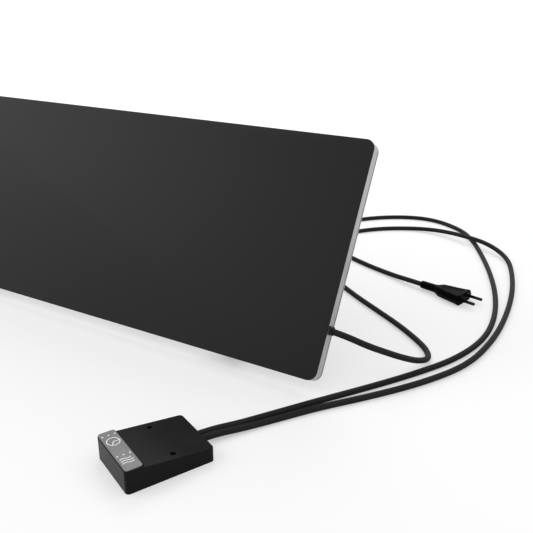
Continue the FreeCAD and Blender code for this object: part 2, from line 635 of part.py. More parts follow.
def hinge_bracket():
    """A plate with two ears that hold the pin."""
    bracket = new_body()
    plate = sketch_on(bracket, "XY_Plane", SHEET_TOP)
    oblong(plate, ("-hinge_wide / 2", "hinge_wide / 2"), ("-hinge_reach", "hinge_reach"))
    pad(bracket, plate, "hinge_plate")
    round_edges(bracket, "ear_half / 2", upright)
    ears = sketch_on(bracket, "YZ_Plane")
    oblong(ears, ("-ear_half", "ear_half"), (f"{SHEET_TOP} + hinge_plate / 2", AXIS))
    pad(bracket, ears, EAR_SPAN, both=True)
    ends = sketch_on(bracket, "YZ_Plane")
    circle(ends, "0", AXIS, "hinge_round")
    pad(bracket, ends, EAR_SPAN, both=True)
    between = sketch_on(bracket, "YZ_Plane")
    oblong(between, ("-ear_half - overrun", "ear_half + overrun"),
           (f"{SHEET_TOP} + hinge_plate", f"{AXIS} + hinge_round + overrun"))
    pocket(bracket, between, f"{EAR_SPAN} - 2 * ear_thick", both=True)
    eye = sketch_on(bracket, "YZ_Plane")
    circle(eye, "0", AXIS, "pin_radius + pin_gap")
    pocket(bracket, eye, f"{EAR_SPAN} + overrun", both=True)
    holes = sketch_on(bracket, "XY_Plane", SHEET_TOP)
    for end in (-1, 1):
        circle(holes, "0", f"{end} * stand_screw_up", "screw_shank + hole_gap")
    pocket(bracket, holes, "hinge_plate", along=True)
    return bracket


def hinge_pin():
    """A shaft with a head at each end."""
    reach = "(leg_wide / 2 + fit_gap)"
    shaft = rod("pin_radius", f"2 * {reach}", f"-{reach}", "0", "0", along="x")
    heads = [rod("pin_head", "pin_head_thick", start, "0", "0", along="x")
             for start in (f"-{reach} - pin_head_thick", reach)]
    return fuse(shaft, *heads)


def folding_leg():
    """A channel that tapers to its foot, with a knuckle and a heel that meets the bracket when open."""
    leg = new_body()
    bar = sketch_on(leg, "YZ_Plane")
    outline(bar, [
        (f"-{LEG_LONG}", "-leg_half + leg_taper"), ("0", "-leg_half"), ("0", "leg_half"),
        (f"-{LEG_LONG}", "leg_half")])
    pad(leg, bar, "leg_wide", both=True)
    knuckle = sketch_on(leg, "YZ_Plane")
    circle(knuckle, "0", "0", "hinge_round")
    pad(leg, knuckle, "leg_wide", both=True)
    heel = sketch_on(leg, "YZ_Plane")
    drop = "(hinge_rise - stop_gap)"
    in_y, in_z = f"{drop} * sin{OPEN_TURN}", f"-{drop} * cos{OPEN_TURN}"
    up_y, up_z = f"heel_long * cos{OPEN_TURN}", f"heel_long * sin{OPEN_TURN}"
    outline(heel, [("0", "0"), (in_y, in_z), (f"{in_y} + {up_y}", f"{in_z} + {up_z}"), (up_y, up_z)])
    pad(leg, heel, "leg_wide", both=True)
    hollow = sketch_on(leg, "YZ_Plane")
    far, out = f"{LEG_LONG} + overrun", "hinge_round + hinge_rise"
    outline(hollow, [
        (f"-({far})", f"-({out})"), (out, f"-({out})"), (out, out), ("-web_start", out),
        ("-web_start", "leg_half - leg_wall"), (f"-({far})", "leg_half - leg_wall")])
    pocket(leg, hollow, "leg_wide - 2 * leg_wall", both=True)
    eye = sketch_on(leg, "YZ_Plane")
    circle(eye, "0", "0", "pin_radius + pin_gap")
    pocket(leg, eye, "leg_wide + overrun", both=True)
    return leg


def along_leg(edge):
    """Whether an edge runs mostly along the leg."""
    box = edge.BoundBox
    return box.YLength > max(box.XLength, box.ZLength)


def leg_shoe():
    """A rubber sole cut level with the floor, with a tongue that fits in the channel."""
    shoe = new_body()
    block_sketch = sketch_on(shoe, "YZ_Plane")
    outline(block_sketch, [
        (sole("-shoe_half"), "-shoe_half"), (f"-{LEG_LONG}", "-shoe_half"), (f"-{LEG_LONG}", "shoe_half"),
        (sole("shoe_half"), "shoe_half")])
    pad(shoe, block_sketch, "shoe_wide", both=True)
    round_edges(shoe, "shoe_round", along_leg)
    tongue = sketch_on(shoe, "YZ_Plane")
    oblong(tongue, (f"-{LEG_LONG}", f"-{LEG_LONG} + shoe_tongue"),
           ("-leg_half + leg_taper", "leg_half - leg_wall - hole_gap"))
    pad(shoe, tongue, "leg_wide - 2 * leg_wall - 2 * hole_gap", both=True)
    return shoe


open_turn = Rotation(Vector(1, 0, 0), -value("panel_lean + leg_lean"))
for side, sign in SIDES:
    across = sign * value(LEG_ACROSS)
    bracket_place = stance.multiply(Placement(Vector(across, value(HINGE_UP), 0), Rotation()))
    axis_place = stance.multiply(Placement(Vector(across, value(HINGE_UP), value(AXIS)), Rotation()))
    leg_place = axis_place.multiply(Placement(Vector(), open_turn))
    keep(f"{side}_hinge_bracket", hinge_bracket(), bracket_place)
    keep(f"{side}_hinge_pin", hinge_pin(), axis_place)
    keep(f"{side}_leg", folding_leg(), leg_place)
    keep(f"{side}_leg_shoe", leg_shoe(), leg_place)

# Stand screws: through the feet and the hinge brackets into the back sheet
stand_screws = [
    pan_screw(x, y, f"{SHEET_TOP} + {seat}", f"{seat} + sheet_thick")
    for spots, seat in ((foot_spots, "foot_thick"), (hinge_spots, "hinge_plate")) for x, y in spots]
keep("stand_screws", group(*stand_screws), stance)

# Where the control unit lies: its own frame starts at the middle of its front edge, with x to its cord end
control = Placement(
    Vector(value("box_place_x"), value("box_place_y"), 0), Rotation(Vector(0, 0, 1), value("box_yaw")))
BOX_SIDE = "(box_wide / 2)"
MOUNT_HOLES = [(BOX_PLACES["hole"], f"{side} * {WIDE_PLACES['hole']}") for side in (-1, 1)]
BOSS_ENDS = (BOX_PLACES["boss"], "(box_long - boss_end)")
BOSSES = [(x, f"{side} * (box_wide / 2 - boss_inset)") for x in BOSS_ENDS for side in (-1, 1)]
LED_ROWS = (WIDE_PLACES["timer_row"], WIDE_PLACES["heat_row"])
LED_SPOTS = [(f"led_middle + {step} * led_pitch", y) for y in LED_ROWS for step in (-1, 0, 1)]


def roof(x):
    """Height of the sloped top at a distance from the front."""
    return f"(step_high - {ROOF_DROP} * ({x} - head_long))"


# Control cover: a shell with a raised head, a sloped roof, two bored pillars, screw bosses and a cord mouth
cover = new_body()
side_view = sketch_on(cover, "XZ_Plane")
outline(side_view, [
    ("0", "0"), ("box_long", "0"), ("box_long", "rear_high"), ("head_long", "step_high"),
    ("head_long", "head_high"), ("0", "head_high")])
pad(cover, side_view, "box_wide", both=True)
step_at = value("head_long")
round_edges(cover, "box_corner", lambda edge: upright(edge) and abs(edge.BoundBox.XMin - step_at) > FREE)
round_edges(cover, "strip_corner", lambda edge: upright(edge) and abs(edge.BoundBox.XMin - step_at) < FREE)
eaves = value("rear_high") - FREE
hollow_of_step = at_level("step_high")
round_edges(
    cover, "box_edge",
    lambda edge: edge.BoundBox.ZMin > eaves and not upright(edge) and not hollow_of_step(edge))
cavity = sketch_on(cover, "XZ_Plane")
outline(cavity, [
    ("box_wall", "-overrun"), ("box_long - box_wall", "-overrun"),
    ("box_long - box_wall", "rear_high - box_wall"), ("head_long - box_wall", "step_high - box_wall"),
    ("head_long - box_wall", HEAD_ROOF), ("box_wall", HEAD_ROOF)])
pocket(cover, cavity, "box_wide - 2 * box_wall", both=True)
COVER_POSTS = ((MOUNT_HOLES, "pillar_radius"), (BOSSES[:2], "boss_radius"), (BOSSES[2:], "boss_radius"))
for spots, radius in COVER_POSTS:
    posts = sketch_on(cover, "XY_Plane", "base_thick")
    for x, y in spots:
        circle(posts, x, y, radius)
    pad(cover, posts, f"{roof(spots[0][0])} - box_wall / 2 - base_thick")
for spots, radius, level, depth in (
    (MOUNT_HOLES, "hole_radius", "0", "head_high"),
    (BOSSES, "boss_pilot", "0", "base_screw_long"),
    (LED_SPOTS, "led_hole", HEAD_ROOF, "box_wall"),
):
    drilled = sketch_on(cover, "XY_Plane", level)
    for x, y in spots:
        circle(drilled, x, y, radius)
    pocket(cover, drilled, depth, along=True)
mouth = sketch_on(cover, "YZ_Plane", "box_long - box_wall")
oblong(mouth, ("-mouth_half", "mouth_half"), ("mouth_low", "mouth_high"))
pocket(cover, mouth, "box_wall", along=True)
keep("control_cover", cover, control)

# Control base: a plate inside the cover's rim, with posts for the board and sunk screw holes
base = new_body()
base_sketch = sketch_on(base, "XY_Plane")
inner = "box_wall + hole_gap"
base_side = f"{BOX_SIDE} - ({inner})"
oblong(base_sketch, (inner, f"box_long - ({inner})"), (f"-({base_side})", base_side))
pad(base, base_sketch, "base_thick")
POST_ENDS = ("pcb_start + post_inset", f"{PCB_END} - post_inset")
PCB_POSTS = [(x, f"{side} * ({PCB_SIDE} - post_inset)") for x in POST_ENDS for side in (-1, 1)]
board_posts = sketch_on(base, "XY_Plane", "base_thick")
for x, y in PCB_POSTS:
    circle(board_posts, x, y, "post_radius")
pad(base, board_posts, "pcb_level - base_thick")
for spots, radius, depth in (
    (MOUNT_HOLES, "hole_radius", "base_thick"),
    (BOSSES, "base_shank + hole_gap", "base_thick"),
    (BOSSES, "base_head + hole_gap", "base_head_high"),
):
    drilled = sketch_on(base, "XY_Plane")
    for x, y in spots:
        circle(drilled, x, y, radius)
    pocket(base, drilled, depth, along=True)
keep("control_base", base, control)
base_screws = [
    fuse(rod("base_head", "base_head_high", x, y, "0"), rod("base_shank", "base_screw_long", x, y, "0"))
    for x, y in BOSSES]
keep("base_screws", group(*base_screws), control)

# Touch panel: a grey plate on the head of the cover
strip = new_body()
strip_sketch = sketch_on(strip, "XY_Plane", "head_high")
strip_side = f"{BOX_SIDE} - strip_inset"
oblong(strip_sketch, ("strip_inset", "head_long - strip_inset"), (f"-({strip_side})", strip_side))
pad(strip, strip_sketch, "strip_thick")
round_edges(strip, "strip_corner", upright)
round_edges(strip, "strip_edge", at_level("head_high + strip_thick"))
keep("touch_panel", strip, control)

# Touch board under the head: its two touch pads and six lamps reach the roof, and pins carry it
TOUCH_TOP = f"({HEAD_ROOF} - touch_pad_high)"
TOUCH_LOW = f"({HEAD_ROOF} - touch_pad_high - touch_thick)"
touch_board = block(
    ("touch_start", "touch_start + touch_long"), (f"-{TOUCH_SIDE}", TOUCH_SIDE), (TOUCH_LOW, TOUCH_TOP))
keep("touch_board", group(touch_board), control)
electrodes = [
    rod("touch_pad", "touch_pad_high", "led_middle", WIDE_PLACES[pad_name], TOUCH_TOP)
    for pad_name in ("timer_pad", "heat_pad")]
keep("touch_electrodes", group(*electrodes), control)
lamps = [
    block((f"{x} - led_side / 2", f"{x} + led_side / 2"), (f"{y} - led_side / 2", f"{y} + led_side / 2"),
          (TOUCH_TOP, HEAD_ROOF))
    for x, y in LED_SPOTS]
keep("indicator_leds", group(*lamps), control)
link = block(
    ("link_start", "link_start + link_long"), ("-link_wide / 2", "link_wide / 2"), (PCB_TOP, TOUCH_LOW))
keep("board_link", group(link), control)

# Main board on the posts of the base, with its relay, supply, fuse and terminals
main_board = block(("pcb_start", PCB_END), (f"-{PCB_SIDE}", PCB_SIDE), ("pcb_level", PCB_TOP))
keep("control_pcb", group(main_board), control)
for label, name in (("power_relay", "relay"), ("supply_module", "supply")):
    case = new_body()
    case_sketch = sketch_on(case, "XY_Plane", PCB_TOP)
    oblong(case_sketch, BOX_SPANS[name], (f"{name}_side", f"{name}_side + {name}_wide"))
    pad(case, case_sketch, f"{name}_high")
    case_foot = at_level(PCB_TOP)
    round_edges(case, "part_round", lambda edge: not case_foot(edge))
    keep(label, case, control)
FUSE_LEVEL = f"({PCB_TOP} + fuse_radius + fuse_cap_rim)"
fuse_glass = rod("fuse_radius", "fuse_long", BOX_PLACES["fuse"], "-fuse_long / 2", FUSE_LEVEL, along="y")
fuse_caps = [
    rod("fuse_radius + fuse_cap_rim", "fuse_cap", BOX_PLACES["fuse"], start, FUSE_LEVEL, along="y")
    for start in ("-fuse_long / 2", "fuse_long / 2 - fuse_cap")]
keep("control_fuse", fuse(fuse_glass, *fuse_caps), control)
terminals = []
for low, high in (("term_side", "term_side + term_wide"), ("-term_side - term_wide", "-term_side")):
    term_case = block(BOX_SPANS["term"], (low, high), (PCB_TOP, f"{PCB_TOP} + term_high"))
    term_middle = f"({BOX_SPANS['term'][0]} + {BOX_SPANS['term'][1]}) / 2"
    term_wells = [
        rod("term_well", "term_high / 2", term_middle, f"(({low}) + ({high})) / 2 + {side} * term_wide / 4",
            f"{PCB_TOP} + term_high / 2")
        for side in (-1, 1)]
    terminals.append(cut(term_case, *term_wells))
keep("lead_terminals", group(*terminals), control)

# Cords into the control unit: cores to the terminals, a saddle on the base and a grommet in the mouth
core_rods = [
    rod("wire_radius", f"{CORD_END} - {PCB_END}", PCB_END,
        f"{side} * cord_half + {core} * core_half", "cord_level", along="x")
    for side in (-1, 1) for core in (-1, 1)]
keep("control_wires", group(*core_rods), control)


def cord_bores(start, length):
    """Two holes for the leads, side by side."""
    return [
        rod("cord_radius + hole_gap", length, start, f"{side} * cord_half", "cord_level", along="x")
        for side in (-1, 1)]


SADDLE_START = "(box_long - saddle_from_end)"
saddle = block(
    (SADDLE_START, f"{SADDLE_START} + saddle_long"), ("-saddle_half", "saddle_half"),
    ("base_thick", "saddle_top"))
saddle_bores = cord_bores(f"{SADDLE_START} - overrun", "saddle_long + 2 * overrun")
keep("control_cord_clamp", cut(saddle, *saddle_bores), control)
grommet_neck = block(
    ("box_long - box_wall", "box_long"), ("-mouth_half + hole_gap", "mouth_half - hole_gap"),
    ("mouth_low + hole_gap", "mouth_high - hole_gap"))
grommet_lip = block(
    ("box_long - box_wall - hole_gap - grommet_lip", "box_long - box_wall - hole_gap"),
    ("-mouth_half - grommet_rim", "mouth_half + grommet_rim"),
    ("base_thick + hole_gap", "mouth_high + grommet_rim"))
grommet_bridge = block(
    ("box_long - box_wall - hole_gap", "box_long - box_wall"),
    ("-mouth_half + hole_gap", "mouth_half - hole_gap"), ("mouth_low + hole_gap", "mouth_high - hole_gap"))
grommet_bores = cord_bores("box_long - box_wall - overrun", "box_wall + 2 * overrun")
keep("control_grommet", cut(fuse(grommet_neck, grommet_bridge, grommet_lip), *grommet_bores), control)

# Where the plug lies: its own frame starts where the lead enters its neck, with x along it
plug = Placement(
    Vector(value("plug_place_x"), value("plug_place_y"), value("plug_level")),
    Rotation(Vector(0, 0, 1), value("plug_yaw")))


def in_panel(x):
    """A point on the gland's axis, in the row frame."""
    return tuple(stance.multVec(Vector(value(x), value("gland_up"), value("gland_depth"))))


def in_control(x, side):
    """A point on the axis of one of the control unit's two cord bores, in the row frame."""
    return tuple(control.multVec(Vector(value(x), side * value("cord_half"), value("cord_level"))))


# The two leads: each starts and ends in line with the bore or neck that holds it
heater_start = [in_panel(LEAD_START), in_panel("-panel_width / 2 - lead_clear")]
heater_end = [in_control("box_long + cord_clear", 1), in_control(CORD_END, 1)]
mains_start = [in_control(CORD_END, -1), in_control("box_long + cord_clear", -1)]
mains_end = [tuple(plug.multVec(Vector(value("-plug_clear"), 0, 0))), tuple(plug.Base)]
for label, route in (
    ("heater_lead", heater_start + HEATER_ROUTE + heater_end),
    ("mains_lead", mains_start + MAINS_ROUTE + mains_end),
):
    bends = largest_radii(route)
    lead_shape, lead_length = tube(route, bends, value("cord_radius"))
    keep(label, solid_from(lead_shape))
    print(label, "length", round(lead_length), "smallest radii", [round(bend) for bend in sorted(bends)[:4]])

# Plug: a tapered neck that widens through six-sided sections to a flat face with two pins
plug_hull = new_body()
plug_sections = []
for level, wide, high in (
    ("plug_waist", "waist_wide", "waist_high"),
    ("plug_shoulder", "shoulder_wide", "shoulder_high"),
    ("plug_face", "plug_wide", "plug_high"),
):
    section = sketch_on(plug_hull, "YZ_Plane", level)
    flat = f"{PLUG_FLAT_SHARE} * {wide} / 2"
    outline(section, [
        (f"-{wide} / 2", "0"), (f"-{flat}", f"-{high} / 2"), (flat, f"-{high} / 2"),
        (f"{wide} / 2", "0"), (flat, f"{high} / 2"), (f"-{flat}", f"{high} / 2")])
    plug_sections.append(section)
doc.recompute()
hull_loft = plug_hull.newObject("PartDesign::AdditiveLoft", "loft")
hull_loft.Profile = plug_sections[0]
hull_loft.Sections = plug_sections[1:]
hull_loft.Ruled = True
doc.recompute()
plug_neck = doc.addObject("Part::Cone", "cone")
bind(plug_neck, Radius1="neck_start_radius", Radius2="neck_end_radius", Height="neck_long")
plug_neck.Placement = Placement(Vector(), ALONG["x"])
PRONGS = [f"{side} * prong_half" for side in (-1, 1)]
pin_seats = [
    rod("prong_core + pin_gap", "prong_seat + overrun", "plug_face - prong_seat", y, "0", along="x")
    for y in PRONGS]
keep("plug_body", cut(fuse(plug_neck, plug_hull), *pin_seats), plug)
prongs = []
sleeves = []
for y in PRONGS:
    core = rod("prong_core", "prong_seat + prong_sleeve_long", "plug_face - prong_seat", y, "0", along="x")
    end = rod(
        "prong_radius", "prong_long - prong_sleeve_long - prong_tip", "plug_face + prong_sleeve_long",
        y, "0", along="x")
    tip = doc.addObject("Part::Cone", "cone")
    bind(tip, Radius1="prong_radius", Radius2="prong_core", Height="prong_tip")
    tip.Placement = Placement(Vector(), ALONG["x"])
    place(tip, "plug_face + prong_long - prong_tip", y, "0")
    prongs.append(fuse(core, end, tip))
    sleeve = rod("prong_sleeve", "prong_sleeve_long", "plug_face", y, "0", along="x")
    sleeve_bore = rod("prong_core", "prong_sleeve_long", "plug_face", y, "0", along="x")
    sleeves.append(cut(sleeve, sleeve_bore))
keep("plug_pins", group(*prongs), plug)
keep("plug_sleeves", group(*sleeves), plug)

# Every object must be sound before anything is written
doc.recompute()
for target in doc.Objects:
    assert "Invalid" not in target.State and "Error" not in target.State, f"{target.Label}: {target.State}"
for piece in pieces:
    assert not piece.Shape.isNull() and piece.Shape.isValid(), f"{piece.Label}: bad shape"
    assert piece.Shape.Solids, f"{piece.Label}: no solid"

os.makedirs("parts", exist_ok=True)
for piece in pieces:
    piece.Shape.exportStep(f"parts/{piece.Label}.step")
print(len(pieces), "sub-parts written")
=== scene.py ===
import math

import bmesh
import bpy
import numpy as np
from mathutils import Euler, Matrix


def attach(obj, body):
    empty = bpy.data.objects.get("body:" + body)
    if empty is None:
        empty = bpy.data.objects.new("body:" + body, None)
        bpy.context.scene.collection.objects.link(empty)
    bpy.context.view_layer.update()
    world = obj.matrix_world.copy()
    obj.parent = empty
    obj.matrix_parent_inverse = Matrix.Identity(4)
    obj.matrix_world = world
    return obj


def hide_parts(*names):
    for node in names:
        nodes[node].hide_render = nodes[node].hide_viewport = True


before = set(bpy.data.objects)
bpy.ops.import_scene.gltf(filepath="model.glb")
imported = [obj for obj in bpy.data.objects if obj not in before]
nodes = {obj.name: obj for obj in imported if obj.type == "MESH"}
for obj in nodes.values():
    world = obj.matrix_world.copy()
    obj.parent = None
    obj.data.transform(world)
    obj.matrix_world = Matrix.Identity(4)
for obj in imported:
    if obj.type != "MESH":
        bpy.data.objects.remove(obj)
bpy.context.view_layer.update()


# Front plate. A flat sheet of aluminium with a satin black heat-proof coating, cut with round
# corners and a softened rim, and bonded to the flange of the edge frame behind it.
# Its sizes, and those of the other pieces, are in millimetres.
MM_PER_METRE = 1000
PANEL_WIDE, PANEL_HIGH, PANEL_CORNER = 700.0, 250.0, 10.0
PANEL_FRONT, PANEL_LIFT, PANEL_LEAN = 20.0, 18.7, math.radians(30)
PLATE_THICK, PLATE_EDGE = 2.0, 0.7
CORNER_STEPS, EDGE_STEPS = 14, 5
SMOOTH_DEGREES = 35.0


def on_panel(x, y, z):
    """Metres of the panel's own millimetres, where x runs across it, y up its face and z into it:
    x is mirrored, and y and z are turned back by the lean."""
    back = PANEL_FRONT + np.sin(PANEL_LEAN) * y + np.cos(PANEL_LEAN) * z
    up = PANEL_LIFT + np.cos(PANEL_LEAN) * y - np.sin(PANEL_LEAN) * z
    return np.stack(np.broadcast_arrays(-x, back, up), axis=-1) / MM_PER_METRE


def round_loop(half_wide, half_high, corner, inset, steps=CORNER_STEPS):
    """Loops of a rounded oblong, each drawn in by its inset: the corner centres plus (corner - inset)
    times a unit circle that turns a quarter at each corner. Gives x and y as (insets, points)."""
    quarter = np.linspace(0, np.pi / 2, steps)
    angle = (np.arange(4)[:, None] * np.pi / 2 + quarter).ravel()
    sign_x = np.repeat([1, -1, -1, 1], steps)
    sign_y = np.repeat([1, 1, -1, -1], steps)
    reach = corner - np.asarray(inset, float)[:, None]
    x = sign_x * (half_wide - corner) + reach * np.cos(angle)
    y = sign_y * (half_high - corner) + reach * np.sin(angle)
    return x, y


def rounded_rim(low, high, edge):
    """Inset and level of a plate's wall and rim: the wall leaves from low, and a quarter circle with
    the edge as its radius takes it over to the flat at high."""
    turn = np.linspace(0, np.pi / 2, EDGE_STEPS)
    inset = np.concatenate([[0], edge - edge * np.cos(turn)])
    level = np.concatenate([[low], high - np.sign(high - low) * (edge - edge * np.sin(turn))])
    return inset, level


def grid_faces(rows, columns, wrap_rows=False):
    """Quads of a grid of closed rows: each joins a point to the next in its row and to the two above
    them. The last row is joined to the first where the rows wrap."""
    row = np.arange(rows if wrap_rows else rows - 1)[:, None]
    column = np.arange(columns)[None, :]
    right, above = (column + 1) % columns, (row + 1) % rows
    corners = [row * columns + column, row * columns + right,
               above * columns + right, above * columns + column]
    return np.stack(np.broadcast_arrays(*corners), axis=-1).reshape(-1, 4)


def capped(rings):
    """Faces of a stack of closed rings, with a flat face across the first and the last."""
    count, around = rings.shape[:2]
    sides = list(grid_faces(count, around))
    last = (count - 1) * around
    return sides + [list(range(around))[::-1], list(range(last, last + around))]


def make_piece(name, points, faces, finish, smooth=SMOOTH_DEGREES):
    """A mesh object of points and faces, with its normals turned outwards, and shaded round over the
    edges that turn by less than the given degrees."""
    mesh = bpy.data.meshes.new(name)
    corners = [list(map(int, face)) for face in faces]
    mesh.from_pydata(np.asarray(points).reshape(-1, 3).tolist(), [], corners)
    mesh.validate()
    work = bmesh.new()
    work.from_mesh(mesh)
    bmesh.ops.recalc_face_normals(work, faces=work.faces)
    work.to_mesh(mesh)
    work.free()
    mesh.shade_smooth()
    mesh.set_sharp_from_angle(angle=math.radians(smooth))
    mesh.materials.append(finish)
    piece = bpy.data.objects.new(name, mesh)
    bpy.context.scene.collection.objects.link(piece)
    return piece


def new_finish(name, plain):
    """A material with plain values on its shader's own sockets, and its nodes and links."""
    finish = bpy.data.materials.new(name)
    finish.use_nodes = True
    parts, links = finish.node_tree.nodes, finish.node_tree.links
    for socket, number in plain.items():
        parts["Principled BSDF"].inputs[socket.replace("_", " ")].default_value = number
    return finish, parts, links


def vary_finish(parts, links, signal, dark, light, tone_span, rough, gloss_span):
    """Colour that runs from dark to light while a signal over the surface runs through the tone's
    span, and roughness that runs from its first to its second value over the gloss's span."""
    shader = parts["Principled BSDF"]
    tone = parts.new("ShaderNodeValToRGB")
    for stop, place, colour in zip(tone.color_ramp.elements, tone_span, (dark, light)):
        stop.position = place
        stop.color = (*colour, 1)
    links.new(signal, tone.inputs["Fac"])
    links.new(tone.outputs["Color"], shader.inputs["Base Color"])
    gloss = parts.new("ShaderNodeMapRange")
    sockets = ("From Min", "From Max", "To Min", "To Max")
    for socket, number in zip(sockets, (*gloss_span, *rough)):
        gloss.inputs[socket].default_value = number
    links.new(signal, gloss.inputs["Value"])
    links.new(gloss.outputs["Result"], shader.inputs["Roughness"])


def lift_finish(parts, links, height, strength, depth):
    """Relief: a height over the surface, times a depth in metres, tilts the normals."""
    relief = parts.new("ShaderNodeBump")
    relief.inputs["Strength"].default_value = strength
    relief.inputs["Distance"].default_value = depth
    links.new(height, relief.inputs["Height"])
    links.new(relief.outputs["Normal"], parts["Principled BSDF"].inputs["Normal"])


# Grain of coatings and mouldings: fine noise for the height, and slow noise for the drift of tone
# and gloss
GRAIN_SCALE, GRAIN_DETAIL, GRAIN_DEPTH, GRAIN_STRENGTH = 2500.0, 2.0, 2e-5, 0.5
DRIFT_SCALE, DRIFT_DETAIL, DRIFT_TONE, DRIFT_GLOSS = 18.0, 4.0, (0.35, 0.65), (0.3, 0.7)
grain_tree = bpy.data.node_groups.new("surface_grain", "ShaderNodeTree")
grain_parts, grain_links = grain_tree.nodes, grain_tree.links
grain_place = grain_parts.new("ShaderNodeTexCoord")
grain_in, grain_out = grain_parts.new("NodeGroupInput"), grain_parts.new("NodeGroupOutput")
for effect, output, scale, detail in (
        ("Grain Scale", "Height", GRAIN_SCALE, GRAIN_DETAIL),
        ("Drift Scale", "Drift", DRIFT_SCALE, DRIFT_DETAIL)):
    socket = grain_tree.interface.new_socket(effect, in_out="INPUT", socket_type="NodeSocketFloat")
    socket.default_value = scale
    grain_tree.interface.new_socket(output, in_out="OUTPUT", socket_type="NodeSocketFloat")
    noise = grain_parts.new("ShaderNodeTexNoise")
    noise.inputs["Detail"].default_value = detail
    grain_links.new(grain_place.outputs["Object"], noise.inputs["Vector"])
    grain_links.new(grain_in.outputs[effect], noise.inputs["Scale"])
    grain_links.new(noise.outputs["Fac"], grain_out.inputs[output])


def grained_finish(name, dark, light, rough, grain=GRAIN_SCALE, drift=DRIFT_SCALE,
                   depth=GRAIN_DEPTH, **plain):
    """A finish whose tone and gloss follow the slow drift, on a surface lifted by the fine grain."""
    finish, parts, links = new_finish(name, plain)
    surface = parts.new("ShaderNodeGroup")
    surface.node_tree = grain_tree
    surface.inputs["Grain Scale"].default_value = grain
    surface.inputs["Drift Scale"].default_value = drift
    vary_finish(parts, links, surface.outputs["Drift"], dark, light, DRIFT_TONE, rough, DRIFT_GLOSS)
    lift_finish(parts, links, surface.outputs["Height"], GRAIN_STRENGTH, depth)
    return finish


face_coating = grained_finish(
    "face_coating", dark=(0.0095, 0.0095, 0.0097), light=(0.0105, 0.0105, 0.0107),
    rough=(0.45, 0.48), grain=3200.0, drift=9.0, depth=1.2e-5, Specular_IOR_Level=0.18)
rim_inset, rim_level = rounded_rim(PLATE_THICK, 0.0, PLATE_EDGE)
face_x, face_y = round_loop(PANEL_WIDE / 2, PANEL_HIGH / 2, PANEL_CORNER, rim_inset)
face_rings = on_panel(face_x, face_y + PANEL_HIGH / 2, rim_level[:, None])
front_face = make_piece("front_face", face_rings, capped(face_rings), face_coating)
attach(front_face, "heater")
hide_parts("front_plate")


# Edge frame. A bent channel of satin aluminium that closes the panel all round. Its front flange
# carries the plate, the ledge inside its rear rim carries the back sheet, and a groove runs round
# its outside near the rear edge.
FRAME_PROFILE = np.array([
    # inset from the panel's outline, and level behind its front
    (0.12, 2.0), (0.0, 2.12), (0.0, 13.1), (0.6, 13.1), (0.6, 14.5), (0.0, 14.5), (0.0, 15.7),
    (0.09, 15.91), (0.3, 16.0), (1.75, 16.0), (2.0, 15.75), (2.0, 14.6), (9.0, 14.6), (9.0, 13.0),
    (2.0, 13.0), (2.0, 3.5), (9.0, 3.5), (9.0, 2.0)])
BRUSH_ALONG, BRUSH_ACROSS, BRUSH_DETAIL = 25.0, 2600.0, 3.0
BRUSH_TONE, BRUSH_GLOSS = (0.3, 0.7), (0.0, 1.0)
BRUSH_STRENGTH, BRUSH_DEPTH = 0.25, 1e-5


def panel_sweep(profile):
    """Rings of a closed profile carried round the panel's outline, one ring for each of its points,
    which are an inset and a level."""
    x, y = round_loop(PANEL_WIDE / 2, PANEL_HIGH / 2, PANEL_CORNER, profile[:, 0])
    return on_panel(x, y + PANEL_HIGH / 2, profile[:, 1:])


def brushed_finish(name, dark, light, rough, **plain):
    """Brushed metal: noise that is drawn out along the panel's plane and fine across its depth sets
    the tone, the gloss and the height."""
    finish, parts, links = new_finish(name, plain)
    place = parts.new("ShaderNodeTexCoord")
    upright = parts.new("ShaderNodeMapping")
    upright.inputs["Rotation"].default_value = (PANEL_LEAN, 0, 0)
    drawn = parts.new("ShaderNodeMapping")
    drawn.inputs["Scale"].default_value = (BRUSH_ALONG, BRUSH_ACROSS, BRUSH_ALONG)
    streaks = parts.new("ShaderNodeTexNoise")
    streaks.inputs["Scale"].default_value = 1.0
    streaks.inputs["Detail"].default_value = BRUSH_DETAIL
    links.new(place.outputs["Object"], upright.inputs["Vector"])
    links.new(upright.outputs["Vector"], drawn.inputs["Vector"])
    links.new(drawn.outputs["Vector"], streaks.inputs["Vector"])
    vary_finish(parts, links, streaks.outputs["Fac"], dark, light, BRUSH_TONE, rough, BRUSH_GLOSS)
    lift_finish(parts, links, streaks.outputs["Fac"], BRUSH_STRENGTH, BRUSH_DEPTH)
    return finish


edge_aluminium = brushed_finish(
    "edge_aluminium", dark=(0.42, 0.42, 0.425), light=(0.54, 0.54, 0.545), rough=(0.30, 0.42),
    Metallic=0.5)
frame_rings = panel_sweep(FRAME_PROFILE)
frame_faces = grid_faces(*frame_rings.shape[:2], wrap_rows=True)
edge_band = make_piece("edge_band", frame_rings, frame_faces, edge_aluminium)
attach(edge_band, "heater")
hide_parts("edge_frame")


# Painted shade in the groove of the edge frame: a flat black strip with the rubber finish of the pads,
# set a little below the frame's surface, stands in for the shade that falls in the groove.
SHADE_STRIP_PROFILE = np.array([(0.2, 13.12), (0.2, 14.48), (0.58, 14.48), (0.58, 13.12)])
rubber_pad = grained_finish(
    "rubber_pad", dark=(0.010, 0.010, 0.010), light=(0.016, 0.016, 0.016), rough=(0.7, 0.82),
    grain=1800.0, drift=40.0, depth=5e-5, Specular_IOR_Level=0.3)
shade_strip_rings = panel_sweep(SHADE_STRIP_PROFILE)
shade_strip_faces = grid_faces(*shade_strip_rings.shape[:2], wrap_rows=True)
# The black strip is painted shade that darkens the groove along the frame's rear edge.
groove_shade_strip = make_piece("groove_shade_strip", shade_strip_rings, shade_strip_faces, rubber_pad)
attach(groove_shade_strip, "heater")


